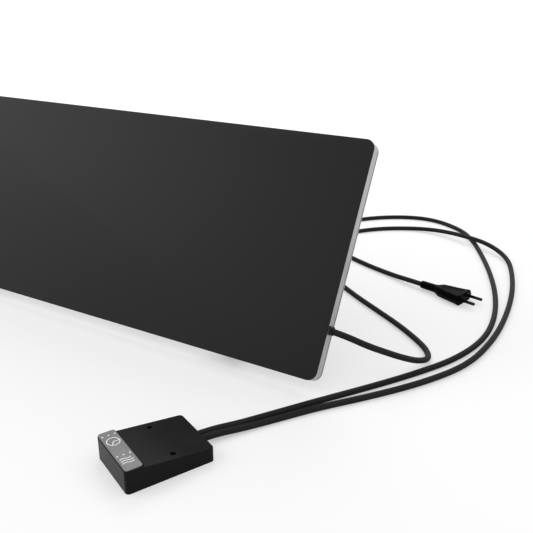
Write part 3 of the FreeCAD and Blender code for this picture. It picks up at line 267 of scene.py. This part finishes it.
# Inside of the panel. A film with a foil track is bonded to the back of the plate, with a pressed
# board behind it. The wiring bay at the lead's end holds a clamp, a terminal block, a cut-out, lugs
# and short wires.
def dress(finish, *names):
    """Give a finish to CAD nodes that stay as they are."""
    for name in names:
        nodes[name].data.materials.clear()
        nodes[name].data.materials.append(finish)


mat_film = grained_finish(
    "mat_film", dark=(0.36, 0.20, 0.05), light=(0.46, 0.28, 0.08), rough=(0.30, 0.42), grain=900.0)
track_foil = grained_finish(
    "track_foil", dark=(0.60, 0.36, 0.22), light=(0.68, 0.44, 0.28), rough=(0.25, 0.38),
    grain=1500.0, Metallic=1.0)
insulation = grained_finish(
    "insulation", dark=(0.60, 0.58, 0.52), light=(0.74, 0.72, 0.66), rough=(0.85, 0.95),
    grain=600.0, drift=60.0, depth=3e-4)
inner_plastic = grained_finish(
    "inner_plastic", dark=(0.55, 0.55, 0.52), light=(0.64, 0.64, 0.60), rough=(0.45, 0.55))
inner_metal = grained_finish(
    "inner_metal", dark=(0.52, 0.52, 0.52), light=(0.62, 0.62, 0.62), rough=(0.28, 0.42),
    grain=1200.0, Metallic=1.0)
contact_brass = grained_finish(
    "contact_brass", dark=(0.60, 0.45, 0.20), light=(0.70, 0.54, 0.26), rough=(0.25, 0.4),
    grain=1200.0, Metallic=1.0)
wire_cover = grained_finish(
    "wire_cover", dark=(0.42, 0.42, 0.40), light=(0.52, 0.52, 0.50), rough=(0.5, 0.6), grain=1500.0)
dress(mat_film, "heating_mat")
dress(track_foil, "heating_track")
dress(insulation, "insulation_board")
dress(inner_plastic, "panel_cord_clamp", "terminal_block")
dress(inner_metal, "thermal_cutout")
dress(contact_brass, "track_lugs")
dress(wire_cover, "inner_leads")


# Back sheet. Sheet steel with a fine black powder coat, cut to the frame's recess. It lies on the
# ledge of the edge frame and is held there by screws.
back_coating = grained_finish(
    "back_coating", dark=(0.015, 0.015, 0.0155), light=(0.019, 0.019, 0.0195), rough=(0.5, 0.6),
    grain=1400.0, drift=14.0, depth=5e-5, Specular_IOR_Level=0.3)
dress(back_coating, "back_sheet")


# Fixed feet. Flat steel strips with a powder coat, screwed to the back sheet. They bend down to the
# floor and run back along it.
FOOT_ACROSS, FOOT_HALF, FOOT_THICK, FOOT_BEND = 236.0, 13.0, 2.0, 3.0
FOOT_TOP, FOOT_KNEE, FOOT_LEVEL, FOOT_TREAD, PAD_THICK = 68.0, 38.0, 16.6, 17.0, 3.0
FOOT_EDGE, FOOT_EDGE_STEPS, FOOT_BEND_STEPS = 0.5, 5, 9
SIDES = (("left", -1), ("right", 1))
stand_coating = grained_finish(
    "stand_coating", dark=(0.017, 0.017, 0.0175), light=(0.022, 0.022, 0.0225), rough=(0.45, 0.56),
    grain=1400.0, drift=14.0, depth=6e-5, Specular_IOR_Level=0.35)


def bent_line(corners, radius):
    """A line in a plane with its inner corners bent: at each, an arc of the radius between the two
    points where it meets the straight runs."""
    path = [corners[:1]]
    for before, corner, after in zip(corners, corners[1:], corners[2:]):
        back, ahead = before - corner, after - corner
        back, ahead = back / np.linalg.norm(back), ahead / np.linalg.norm(ahead)
        half = np.arccos(np.dot(back, ahead)) / 2
        middle = corner + (back + ahead) / np.linalg.norm(back + ahead) * radius / np.sin(half)
        first = corner + back * radius / np.tan(half) - middle
        last = corner + ahead * radius / np.tan(half) - middle
        share = np.linspace(0, 1, FOOT_BEND_STEPS)[:, None]
        sweep = np.pi - 2 * half
        arc = (np.sin((1 - share) * sweep) * first + np.sin(share * sweep) * last) / np.sin(sweep)
        path.append(middle + arc)
    return np.concatenate(path + [corners[-1:]])


def strip_rings(line, middle):
    """Rings of a flat strip: a rounded oblong section set square to the line at each of its points."""
    heading = np.gradient(line, axis=0)
    heading /= np.linalg.norm(heading, axis=1, keepdims=True)
    normal = np.stack([-heading[:, 1], heading[:, 0]], axis=-1)
    wide, thick = round_loop(FOOT_HALF, FOOT_THICK / 2, FOOT_EDGE, [0.0], steps=FOOT_EDGE_STEPS)
    spot = line[:, None, :] + thick[0][None, :, None] * normal[:, None, :]
    across = np.broadcast_to(middle + wide[0], spot.shape[:2])
    return np.concatenate([across[..., None], spot], axis=-1) / MM_PER_METRE


foot_top, foot_knee = (
    on_panel(0.0, up, FOOT_LEVEL)[1:] * MM_PER_METRE for up in (FOOT_TOP, FOOT_KNEE))
foot_ankle = np.array([foot_knee[0], PAD_THICK + FOOT_THICK / 2])
foot_toe = foot_ankle + np.array([FOOT_TREAD, 0])
foot_line = bent_line(np.array([foot_top, foot_knee, foot_ankle, foot_toe]), FOOT_BEND)
for side, sign in SIDES:
    rings = strip_rings(foot_line, sign * FOOT_ACROSS)
    strip = make_piece(f"{side}_foot_strip", rings, capped(rings), stand_coating)
    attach(strip, "heater")
    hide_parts(f"{side}_foot")


# Foot pads. Moulded black rubber with soft edges, bonded under the feet so that the panel doesn't
# slide or mark the floor.
PAD_LONG, PAD_CORNER, PAD_CORNER_STEPS = 18.0, 1.0, 6
PAD_RIM = np.array([
    # inset from the pad's outline, and level above the floor
    (0.45, 0.0), (0.12, 0.12), (0.0, 0.45), (0.0, 2.7), (0.1, 2.95), (0.3, 3.0)])
pad_x, pad_y = round_loop(
    FOOT_HALF, PAD_LONG / 2, PAD_CORNER, PAD_RIM[:, 0], steps=PAD_CORNER_STEPS)
pad_y = pad_y + (foot_ankle[0] - FOOT_THICK / 2 + PAD_LONG / 2)
pad_z = np.broadcast_to(PAD_RIM[:, 1:], pad_x.shape)
for side, sign in SIDES:
    rings = np.stack([pad_x + sign * FOOT_ACROSS, pad_y, pad_z], axis=-1) / MM_PER_METRE
    rubber = make_piece(f"{side}_rubber_pad", rings, capped(rings), rubber_pad)
    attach(rubber, "heater")
    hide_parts(f"{side}_foot_pad")


# Hinge brackets, hinge pins and folding legs. Brackets and legs are bent sheet steel with a powder
# coat, and turn on plated steel pins. Rubber shoes are pushed on the ends of the legs.
# Their rounded edges are in metres.
SHEET_EDGE, PIN_EDGE, SHOE_EDGE = 0.0003, 0.0002, 0.0004
ROUND_SEGMENTS, ROUND_FROM, FLAT_UP_TO, SAME_POINT = 2, math.radians(40), math.radians(0.5), 1e-6


def softened(node, body, finish, edge):
    """A copy of a CAD piece whose loose triangles are merged, whose flat faces are joined, and whose
    sharp edges are rounded by the edge's width."""
    work = bmesh.new()
    work.from_mesh(nodes[node].data)
    bmesh.ops.remove_doubles(work, verts=work.verts, dist=SAME_POINT)
    bmesh.ops.dissolve_limit(work, angle_limit=FLAT_UP_TO, verts=work.verts, edges=work.edges)
    mesh = bpy.data.meshes.new(f"soft_{node}")
    work.to_mesh(mesh)
    work.free()
    mesh.shade_smooth()
    mesh.set_sharp_from_angle(angle=math.radians(SMOOTH_DEGREES))
    mesh.materials.clear()
    mesh.materials.append(finish)
    piece = bpy.data.objects.new(f"soft_{node}", mesh)
    bpy.context.scene.collection.objects.link(piece)
    rounding = piece.modifiers.new("edge", "BEVEL")
    rounding.width = edge
    rounding.segments = ROUND_SEGMENTS
    rounding.limit_method = "ANGLE"
    rounding.angle_limit = ROUND_FROM
    rounding.harden_normals = True
    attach(piece, body)
    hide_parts(node)
    return piece


screw_steel = grained_finish(
    "screw_steel", dark=(0.48, 0.48, 0.48), light=(0.60, 0.60, 0.59), rough=(0.24, 0.38),
    grain=1800.0, drift=160.0, Metallic=1.0)
for side, _ in SIDES:
    softened(f"{side}_hinge_bracket", "heater", stand_coating, SHEET_EDGE)
    softened(f"{side}_hinge_pin", "heater", screw_steel, PIN_EDGE)
    softened(f"{side}_leg", f"{side}_leg", stand_coating, SHEET_EDGE)
    softened(f"{side}_leg_shoe", f"{side}_leg", rubber_pad, SHOE_EDGE)


# Screws. Plated steel pan screws with a cross recess. Ten hold the back sheet on the frame's ledge,
# and two hold each foot and each hinge bracket.
HEAD_RADIUS, HEAD_HIGH, HEAD_POINTS, HEAD_SMOOTH = 2.8, 1.6, 64, 50.0
HEAD_DOME = np.array([
    # share of the radius, and share of the height there
    (1.0, 0.0), (1.0, 0.45), (0.985, 0.6), (0.94, 0.76), (0.86, 0.87), (0.76, 0.93), (0.66, 0.96),
    (0.58, 0.975), (0.5, 0.985), (0.42, 0.99), (0.34, 0.994), (0.26, 0.997), (0.18, 0.999),
    (0.1, 1.0), (0.03, 1.0)])
RECESS_REACH, RECESS_WIDE, RECESS_DEEP, RECESS_WALL, RECESS_FALL = 1.7, 0.55, 0.9, 0.2, 1.4
SHEET_TOP, SHEET_SCREW_X, SHEET_SCREW_Y = 15.6, (-324, -162, 0, 162, 324), (5.5, 244.5)
STAND_TOP, STAND_SCREWS = 17.6, ((236, 48), (236, 61), (196, 150), (196, 180))


def pan_heads(spots, level):
    """Pan heads on the back, all in one array: each is a grid over radius and angle whose height is a
    low dome, less a cross whose depth falls off towards its ends."""
    share, dome = (column[:, None] for column in HEAD_DOME.T)
    angle = np.linspace(0, 2 * np.pi, HEAD_POINTS, endpoint=False)
    x = HEAD_RADIUS * share * np.cos(angle)
    y = HEAD_RADIUS * share * np.sin(angle)
    arm = np.clip((RECESS_WIDE - np.minimum(np.abs(x), np.abs(y))) / RECESS_WALL, 0, 1)
    fall = np.clip(RECESS_FALL * (1 - np.hypot(x, y) / RECESS_REACH), 0, 1)
    high = HEAD_HIGH * dome - RECESS_DEEP * arm * fall
    spots = np.asarray(spots)[:, :, None, None]
    return on_panel(spots[:, 0] + x, spots[:, 1] + y, level + high)


def joined(shapes):
    """Points and faces of several shapes as one mesh, with each shape's faces counted on from the
    last."""
    points, faces, start = [], [], 0
    for shape_points, shape_faces in shapes:
        points.append(shape_points.reshape(-1, 3))
        faces += [[int(corner) + start for corner in face] for face in shape_faces]
        start += len(points[-1])
    return np.concatenate(points), faces


sheet_spots = [(x, y) for x in SHEET_SCREW_X for y in SHEET_SCREW_Y]
stand_spots = [(sign * x, y) for _, sign in SIDES for x, y in STAND_SCREWS]
for name, node, spots, level in (
        ("sheet_screws", "back_screws", sheet_spots, SHEET_TOP),
        ("foot_screws", "stand_screws", stand_spots, STAND_TOP)):
    heads = [(head, capped(head)) for head in pan_heads(spots, level)]
    screws = make_piece(name, *joined(heads), screw_steel, smooth=HEAD_SMOOTH)
    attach(screws, "heater")
    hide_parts(node)


# Cable gland. A black moulding that snaps into the window of the edge frame, with a rounded collar
# round the lead.
black_moulding = grained_finish(
    "black_moulding", dark=(0.008, 0.008, 0.008), light=(0.012, 0.012, 0.012), rough=(0.5, 0.6),
    grain=2600.0, drift=50.0, Specular_IOR_Level=0.3)
dress(black_moulding, "cable_gland")


# Control unit. A stepped black moulding with a raised head and a sloped top, closed from below by a
# base plate on four sunk screws. It has two through holes for screws, a grommet in its mouth for
# both leads, and two boards with their parts inside.
CONTROL_SPOT, CONTROL_YAW = np.array([0.2585, -0.1712, 0.0]), math.radians(64.4)


def on_control(x, y, z):
    """Metres of the control unit's own millimetres: turned by its yaw and set on the floor."""
    along = np.cos(CONTROL_YAW) * x - np.sin(CONTROL_YAW) * y
    across = np.sin(CONTROL_YAW) * x + np.cos(CONTROL_YAW) * y
    return CONTROL_SPOT + np.stack(np.broadcast_arrays(along, across, z), axis=-1) / MM_PER_METRE


control_moulding = grained_finish(
    "control_moulding", dark=(0.0138, 0.0138, 0.0138), light=(0.0158, 0.0158, 0.0158),
    rough=(0.22, 0.28), grain=2800.0, drift=40.0, depth=2e-5, Specular_IOR_Level=0.042)
board_laminate = grained_finish(
    "board_laminate", dark=(0.02, 0.09, 0.035), light=(0.03, 0.12, 0.05), rough=(0.35, 0.5),
    grain=900.0, drift=90.0)
lamp_lens = grained_finish(
    "lamp_lens", dark=(0.8, 0.8, 0.78), light=(0.86, 0.86, 0.84), rough=(0.15, 0.25), grain=900.0)
fuse_glass = grained_finish(
    "fuse_glass", dark=(0.75, 0.78, 0.78), light=(0.8, 0.83, 0.83), rough=(0.05, 0.1), grain=400.0,
    depth=1e-6)
dress(control_moulding, "control_cover", "control_base")
dress(screw_steel, "base_screws")
dress(black_moulding, "control_grommet", "power_relay", "supply_module")
dress(board_laminate, "touch_board", "control_pcb")
dress(track_foil, "touch_electrodes")
dress(inner_plastic, "board_link", "lead_terminals", "control_cord_clamp")
dress(wire_cover, "control_wires")
dress(lamp_lens, "indicator_leds")
dress(fuse_glass, "control_fuse")


# Touch panel. A satin grey plate with rounded corners, bonded into the head of the control unit.
# The touch pads and lamps work through it.
TOUCH_LONG, TOUCH_WIDE, TOUCH_CORNER, TOUCH_INSET = 15.6, 59.6, 2.6, 0.7
TOUCH_LOW, TOUCH_TOP, TOUCH_EDGE = 22.3, 23.1, 0.3
touch_grey = grained_finish(
    "touch_grey", dark=(0.19, 0.19, 0.192), light=(0.215, 0.215, 0.217), rough=(0.38, 0.46),
    grain=3000.0, drift=60.0, depth=8e-6)
touch_rim, touch_level = rounded_rim(TOUCH_LOW, TOUCH_TOP, TOUCH_EDGE)
touch_x, touch_y = round_loop(TOUCH_LONG / 2, TOUCH_WIDE / 2, TOUCH_CORNER, touch_rim)
touch_rings = on_control(touch_x + TOUCH_INSET + TOUCH_LONG / 2, touch_y, touch_level[:, None])
touch_plate = make_piece("touch_plate", touch_rings, capped(touch_rings), touch_grey)
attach(touch_plate, "heater")
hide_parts("touch_panel")


# Printed marks on the touch panel. A plain clock for the timer, three waves for the heat, and two
# rows of lamp windows, in pale grey ink that stands a hair above the plate.
INK_LOW, INK_TOP, INK_WIDE = 23.06, 23.14, 0.85
CLOCK_X, CLOCK_Y, CLOCK_RADIUS, CLOCK_POINTS = 8.5, 13.1, 5.6, 64
CLOCK_HANDS, HAND_POINTS = ((5.0, math.radians(-5)), (5.2, math.radians(-118))), 8
WAVE_X, WAVE_RISE, WAVE_SWING, WAVE_POINTS = 2.6, 0.6, 0.75, 40
WAVE_ROWS = ((-14.2, 10.2), (-17.2, 11.2), (-20.2, 10.6))
LAMP_X, LAMP_GAP, LAMP_RADIUS, LAMP_POINTS, LAMP_ROWS = 8.5, 5.6, 0.8, 20, (23.4, -8.6)
printed_ink = grained_finish(
    "printed_ink", dark=(0.84, 0.84, 0.83), light=(0.90, 0.90, 0.89), rough=(0.5, 0.6),
    grain=4000.0, drift=200.0, depth=4e-6)


def ink_line(x, y, closed=False):
    """A flat printed line: a path moved half its width to each side along its normal, and given a
    thickness."""
    path = np.stack([x, y], axis=-1)
    if closed:
        heading = np.roll(path, -1, axis=0) - np.roll(path, 1, axis=0)
    else:
        heading = np.gradient(path, axis=0)
    heading /= np.linalg.norm(heading, axis=1, keepdims=True)
    normal = np.stack([-heading[:, 1], heading[:, 0]], axis=-1)
    left, right = path + normal * INK_WIDE / 2, path - normal * INK_WIDE / 2
    walls = [(left, INK_LOW), (left, INK_TOP), (right, INK_TOP), (right, INK_LOW)]
    rings = np.stack([on_control(*wall.T, level) for wall, level in walls], axis=1)
    if closed:
        return rings, grid_faces(*rings.shape[:2], wrap_rows=True)
    return rings, capped(rings)


def ink_dot(x, y):
    """A printed dot: a circle at the plate and one at the ink's top."""
    angle = np.linspace(0, 2 * np.pi, LAMP_POINTS, endpoint=False)
    x, y = x + LAMP_RADIUS * np.cos(angle), y + LAMP_RADIUS * np.sin(angle)
    rings = np.stack([on_control(x, y, level) for level in (INK_LOW, INK_TOP)])
    return rings, capped(rings)


turn = np.linspace(0, 2 * np.pi, CLOCK_POINTS, endpoint=False)
clock = [ink_line(
    CLOCK_X + CLOCK_RADIUS * np.cos(turn), CLOCK_Y + CLOCK_RADIUS * np.sin(turn), closed=True)]
hand = np.linspace(0, 1, HAND_POINTS)
clock += [
    ink_line(CLOCK_X + reach * hand * math.cos(angle), CLOCK_Y + reach * hand * math.sin(angle))
    for reach, angle in CLOCK_HANDS]
wave = np.linspace(0, 1, WAVE_POINTS)
swing = WAVE_RISE * wave + WAVE_SWING * np.sin(wave * 2 * np.pi)
waves = [ink_line(WAVE_X + long * wave, row + swing) for row, long in WAVE_ROWS]
windows = [ink_dot(LAMP_X + LAMP_GAP * step, row) for row in LAMP_ROWS for step in (-1, 0, 1)]
for name, shapes in (("timer_mark", clock), ("heat_mark", waves), ("lamp_windows", windows)):
    mark = make_piece(name, *joined(shapes), printed_ink)
    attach(mark, "heater")


# Leads. Round two-core leads with a black cover: one from the panel to the control unit and one from
# there to the plug. They lie on the floor in loose loops behind the panel, and the second crosses
# over the first. The routes are control points in millimetres, and the thickness is in metres.
CORD_THICK, CORD_ROUND_STEPS, CORD_STEPS = 0.0066, 5, 10
HEATER_LEAD = [
    (348.0, 54.294, 60.099), (363.5, 54.294, 59.1), (387.5, 61.5, 49.9), (400.5, 78, 38.8),
    (411, 99, 25.6), (420, 124, 12), (424.4, 147.6, 4.3), (415, 167.8, 3.3), (395.3, 186.7, 3.3),
    (364.4, 211, 3.3), (326.4, 235.6, 3.3), (285.5, 262.2, 3.3), (240.8, 295.7, 3.3),
    (194, 343, 3.3), (156, 400, 3.3), (139, 464, 3.3), (147, 525, 3.3), (180, 572, 3.3),
    (228, 606, 3.3), (276, 614, 3.3), (328.5, 585.9, 3.3), (358.4, 547.5, 3.3), (388.8, 488.7, 3.3),
    (417, 427, 3.3), (442.5, 357.7, 3.3), (459.6, 286.8, 3.3), (463.2, 224.2, 3.3),
    (449.4, 165.6, 3.3), (421.7, 112.5, 3.3), (390, 62, 3.3), (356.7, 12.75, 3.3),
    (329, -30.5, 3.3), (312, -59, 4.2), (296.166, -83.907, 6.3), (287.525, -101.943, 6.3)]
MAINS_LEAD = [
    (294.289, -105.183, 6.3), (302.93, -87.148, 6.3), (319.1, -62.8, 4.2), (337.1, -34.8, 3.3),
    (363.6, 4.6, 3.3), (400, 50, 3.3), (435, 100, 3.3), (463.6, 157.6, 3.3), (472.1, 223.4, 3.3),
    (470.7, 290, 3.3), (461, 370, 3.3), (443, 445, 3.3), (424, 495, 4.5), (389.7, 522.2, 10.6),
    (350, 538, 10.8), (302, 557.1, 6.5), (255, 553.5, 3.3), (205, 520, 3.3), (170, 470, 3.3),
    (170, 425, 3.3), (206.5, 392.4, 3.3), (255, 368, 3.3), (304.1, 349.5, 3.8),
    (329.938, 337.724, 6.9), (352.35, 332.55, 6.9)]
cord_cover = grained_finish(
    "cord_cover", dark=(0.022, 0.022, 0.022), light=(0.026, 0.026, 0.026), rough=(0.48, 0.56),
    grain=1600.0, drift=30.0, depth=3e-5, Specular_IOR_Level=0.045)


def lay_lead(name, route, node):
    """A round lead whose middle line is a smooth spline with the route's points as its control
    points."""
    line = bpy.data.curves.new(name, "CURVE")
    line.dimensions = "3D"
    line.bevel_depth = CORD_THICK / 2
    line.bevel_resolution = CORD_ROUND_STEPS
    line.resolution_u = CORD_STEPS
    line.use_fill_caps = True
    spline = line.splines.new("NURBS")
    spline.points.add(len(route) - 1)
    spots = np.concatenate([np.array(route) / MM_PER_METRE, np.ones((len(route), 1))], axis=1)
    spline.points.foreach_set("co", spots.astype(np.float32).ravel())
    spline.order_u = 3
    spline.use_endpoint_u = True
    line.materials.append(cord_cover)
    lead = bpy.data.objects.new(name, line)
    bpy.context.scene.collection.objects.link(lead)
    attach(lead, "heater")
    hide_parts(node)
    return lead


heater_cord = lay_lead("heater_cord", HEATER_LEAD, "heater_lead")
mains_cord = lay_lead("mains_cord", MAINS_LEAD, "mains_lead")


# Plug. A flat two-pin plug moulded on the end of the lead in soft black plastic, with a tapered neck,
# wide shoulders, hollowed flats and a six-sided face. The pins are dark metal with insulating
# sleeves. The place of the plug and the rounded edges of the pins are in metres.
PLUG_SPOT, PLUG_YAW = np.array([0.3504, 0.333, 0.0069]), math.radians(-13)
PLUG_STATIONS = np.array([
    # along the axis, half width, half height, turn from round to six-sided, share hollowed out
    (0.0, 3.4, 3.4, 0.0, 0.0), (0.25, 4.3, 4.3, 0.0, 0.0), (0.9, 4.9, 4.9, 0.0, 0.0),
    (2.0, 5.1, 5.1, 0.0, 0.0), (12.0, 5.2, 5.2, 0.0, 0.0), (20.0, 5.3, 5.25, 0.0, 0.0),
    (22.0, 5.6, 5.4, 0.08, 0.0), (24.0, 6.4, 5.65, 0.3, 0.0), (26.0, 7.5, 6.0, 0.6, 0.0),
    (28.5, 8.8, 6.3, 0.9, 0.0), (30.5, 9.6, 6.45, 1.0, 0.02), (33.0, 10.5, 6.5, 1.0, 0.11),
    (38.0, 12.1, 6.4, 1.0, 0.2), (44.0, 13.8, 6.3, 1.0, 0.25), (50.0, 15.4, 6.3, 1.0, 0.27),
    (55.0, 16.6, 6.35, 1.0, 0.27), (57.6, 17.1, 6.45, 1.0, 0.25), (58.8, 17.4, 6.6, 1.0, 0.12),
    (59.6, 17.65, 6.75, 1.0, 0.02), (60.4, 17.88, 6.86, 1.0, 0.0), (62.9, 18.0, 6.9, 1.0, 0.0),
    (63.6, 17.75, 6.7, 1.0, 0.0), (64.0, 17.1, 6.2, 1.0, 0.0)])
PLUG_POINTS, PLUG_FLAT, PLUG_SHARP = 96, 0.78, 16.0
HOLLOW_WIDE, HOLLOW_FADE = 0.7, 4
plug_moulding = grained_finish(
    "plug_moulding", dark=(0.0035, 0.0035, 0.0035), light=(0.0045, 0.0045, 0.0045),
    rough=(0.28, 0.36), grain=2200.0, drift=60.0, Specular_IOR_Level=0.011)
pin_metal = grained_finish(
    "pin_metal", dark=(0.02, 0.02, 0.02), light=(0.035, 0.035, 0.035), rough=(0.3, 0.42),
    grain=1500.0, Metallic=0.9)


def on_plug(x, y, z):
    """Metres of the plug's own millimetres: turned by its yaw and set at the lead's end."""
    along = np.cos(PLUG_YAW) * x - np.sin(PLUG_YAW) * y
    across = np.sin(PLUG_YAW) * x + np.cos(PLUG_YAW) * y
    return PLUG_SPOT + np.stack(np.broadcast_arrays(along, across, z), axis=-1) / MM_PER_METRE


def plug_rings():
    """Sections along the plug: an ellipse blended with a six-sided outline whose corners are rounded
    by taking the p-norm of how far each direction reaches towards the six sides. The middle of the
    flats is then drawn in by its share, which fades to nothing towards the rims."""
    x, half_wide, half_high, turn, hollow = (column[:, None] for column in PLUG_STATIONS.T)
    angle = np.linspace(0, 2 * np.pi, PLUG_POINTS, endpoint=False)[None, :]
    flat = PLUG_FLAT * half_wide
    slope = np.hypot(half_wide - flat, half_high)
    side_y, side_z = half_high / slope, (half_wide - flat) / slope
    side_reach = half_wide * side_y
    lean_in = (side_y * np.abs(np.cos(angle)) + side_z * np.abs(np.sin(angle))) / side_reach
    flat_in = np.abs(np.sin(angle)) / half_high
    six_sided = (lean_in ** PLUG_SHARP + flat_in ** PLUG_SHARP) ** (-1 / PLUG_SHARP)
    round_one = 1 / np.hypot(np.cos(angle) / half_wide, np.sin(angle) / half_high)
    reach = (1 - turn) * round_one + turn * six_sided
    y, z = reach * np.cos(angle), reach * np.sin(angle)
    drawn_in = hollow * np.clip(1 - (y / (HOLLOW_WIDE * half_wide)) ** HOLLOW_FADE, 0, 1)
    return on_plug(x, y, z * (1 - drawn_in))


plug_sections = plug_rings()
plug_hull = make_piece("plug_hull", plug_sections, capped(plug_sections), plug_moulding)
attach(plug_hull, "heater")
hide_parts("plug_body")
plug_pins = softened("plug_pins", "heater", pin_metal, PIN_EDGE)
plug_sleeves = softened("plug_sleeves", "heater", plug_moulding, PIN_EDGE)


# Studio. A wide pale matt floor and an even white surround, with a large soft lamp from the front
# left, one from behind and a weak one from behind on the right. Only the camera, reflections and
# clear pieces see the floor's glow and the surround's full white.
# Painted light: the floor's glow rises from its first to its second level over the reach from the
# middle, so the floor is painted darker round the object and lighter far off.
FLOOR_HALF, FLOOR_TONE = 30.0, 0.56
PAINTED_GLOW_REACH, PAINTED_GLOW_LEVEL = (0.7, 2.5), (0.432, 0.62)
SKY_LEVEL, SKY_SEEN = (0.27, 0.95), 1.0
LAMPS = {
    # place, point that it faces, size and power
    "key_lamp": ((-2.2, -1.7, 2.3), (0.0, 0.1, 0.1), (2.4, 2.2), 32.0),
    "back_lamp": ((-1.0, 2.6, 2.2), (0.1, 0.1, 0.0), (2.2, 2.2), 34.0),
    "side_lamp": ((1.7, 1.9, 2.2), (0.1, 0.1, 0.0), (1.2, 1.2), 6.0)}


def seen_rays(parts, links):
    """One for a ray from the camera, a reflection or a clear piece, and nought for one that carries
    light: the highest of the light path's three marks."""
    path = parts.new("ShaderNodeLightPath")
    seen = path.outputs["Is Camera Ray"]
    for ray in ("Is Glossy Ray", "Is Transmission Ray"):
        either = parts.new("ShaderNodeMath")
        either.operation = "MAXIMUM"
        links.new(seen, either.inputs[0])
        links.new(path.outputs[ray], either.inputs[1])
        seen = either.outputs[0]
    return seen


floor_white = bpy.data.materials.new("floor_white")
floor_white.use_nodes = True
floor_parts, floor_links = floor_white.node_tree.nodes, floor_white.node_tree.links
floor_parts.remove(floor_parts["Principled BSDF"])
matt = floor_parts.new("ShaderNodeBsdfDiffuse")
matt.inputs["Color"].default_value = (FLOOR_TONE, FLOOR_TONE, FLOOR_TONE, 1)
floor_place = floor_parts.new("ShaderNodeTexCoord")
away = floor_parts.new("ShaderNodeVectorMath")
away.operation = "LENGTH"
floor_links.new(floor_place.outputs["Object"], away.inputs[0])
# Painted shade and light: the glow grows with the distance from the middle.
rise = floor_parts.new("ShaderNodeMapRange")
rise.inputs["From Min"].default_value, rise.inputs["From Max"].default_value = PAINTED_GLOW_REACH
rise.inputs["To Min"].default_value, rise.inputs["To Max"].default_value = PAINTED_GLOW_LEVEL
floor_links.new(away.outputs["Value"], rise.inputs["Value"])
level = floor_parts.new("ShaderNodeMath")
level.operation = "MULTIPLY"
floor_links.new(seen_rays(floor_parts, floor_links), level.inputs[0])
floor_links.new(rise.outputs["Result"], level.inputs[1])
glow = floor_parts.new("ShaderNodeEmission")
glow.inputs["Color"].default_value = (1, 1, 1, 1)
floor_links.new(level.outputs[0], glow.inputs["Strength"])
both = floor_parts.new("ShaderNodeAddShader")
floor_links.new(matt.outputs[0], both.inputs[0])
floor_links.new(glow.outputs[0], both.inputs[1])
floor_links.new(both.outputs[0], floor_parts["Material Output"].inputs["Surface"])
floor_mesh = bpy.data.meshes.new("studio_floor")
floor_corners = [(x * FLOOR_HALF, y * FLOOR_HALF, 0) for x, y in ((-1, -1), (1, -1), (1, 1), (-1, 1))]
floor_mesh.from_pydata(floor_corners, [], [(0, 1, 2, 3)])
floor_mesh.materials.append(floor_white)
floor = bpy.data.objects.new("studio_floor", floor_mesh)
bpy.context.scene.collection.objects.link(floor)

surround = bpy.data.worlds.new("studio")
bpy.context.scene.world = surround
surround.use_nodes = True
sky_parts, sky_links = surround.node_tree.nodes, surround.node_tree.links
dome = sky_parts["Background"]
dome.inputs["Color"].default_value = (1, 1, 1, 1)
sky_place = sky_parts.new("ShaderNodeTexCoord")
sky_axes = sky_parts.new("ShaderNodeSeparateXYZ")
sky_links.new(sky_place.outputs["Generated"], sky_axes.inputs["Vector"])
sky_rise = sky_parts.new("ShaderNodeMapRange")
sky_rise.inputs["To Min"].default_value, sky_rise.inputs["To Max"].default_value = SKY_LEVEL
sky_links.new(sky_axes.outputs["Z"], sky_rise.inputs["Value"])
sky_level = sky_parts.new("ShaderNodeMix")
sky_level.inputs["B"].default_value = SKY_SEEN
sky_links.new(seen_rays(sky_parts, sky_links), sky_level.inputs["Factor"])
sky_links.new(sky_rise.outputs["Result"], sky_level.inputs["A"])
sky_links.new(sky_level.outputs["Result"], dome.inputs["Strength"])

for name, (spot, aim, size, power) in LAMPS.items():
    light = bpy.data.lights.new(name, "AREA")
    light.shape = "RECTANGLE"
    light.size, light.size_y = size
    light.energy = power
    lamp = bpy.data.objects.new(name, light)
    bpy.context.scene.collection.objects.link(lamp)
    lamp.location = spot
    from_aim = np.array(spot) - np.array(aim)
    yaw = math.atan2(from_aim[0], -from_aim[1])
    pitch = math.atan2(math.hypot(from_aim[0], from_aim[1]), from_aim[2])
    lamp.rotation_euler = Euler((pitch, 0, yaw), "XYZ")


# Camera. It stands to the right of the panel, in front of it and above it, and looks down across
# its face. The place is in metres, the lens in millimetres and the angles in degrees.
CAMERA_SPOT, CAMERA_DIP, CAMERA_TURN = (0.6228, -0.5325, 0.3909), 22.10, 30.61
CAMERA_LENS, CAMERA_SENSOR, CAMERA_NEAR, CAMERA_FAR = 48.88, 36.0, 0.01, 200.0
camera = bpy.data.objects.new("camera", bpy.data.cameras.new("camera"))
bpy.context.scene.collection.objects.link(camera)
camera.data.sensor_width = CAMERA_SENSOR
camera.data.lens = CAMERA_LENS
camera.data.clip_start, camera.data.clip_end = CAMERA_NEAR, CAMERA_FAR
camera.location = CAMERA_SPOT
camera.rotation_euler = Euler((math.radians(90 - CAMERA_DIP), 0, math.radians(CAMERA_TURN)), "XYZ")
bpy.context.scene.camera = camera
bpy.context.scene.view_settings.view_transform = "Standard"
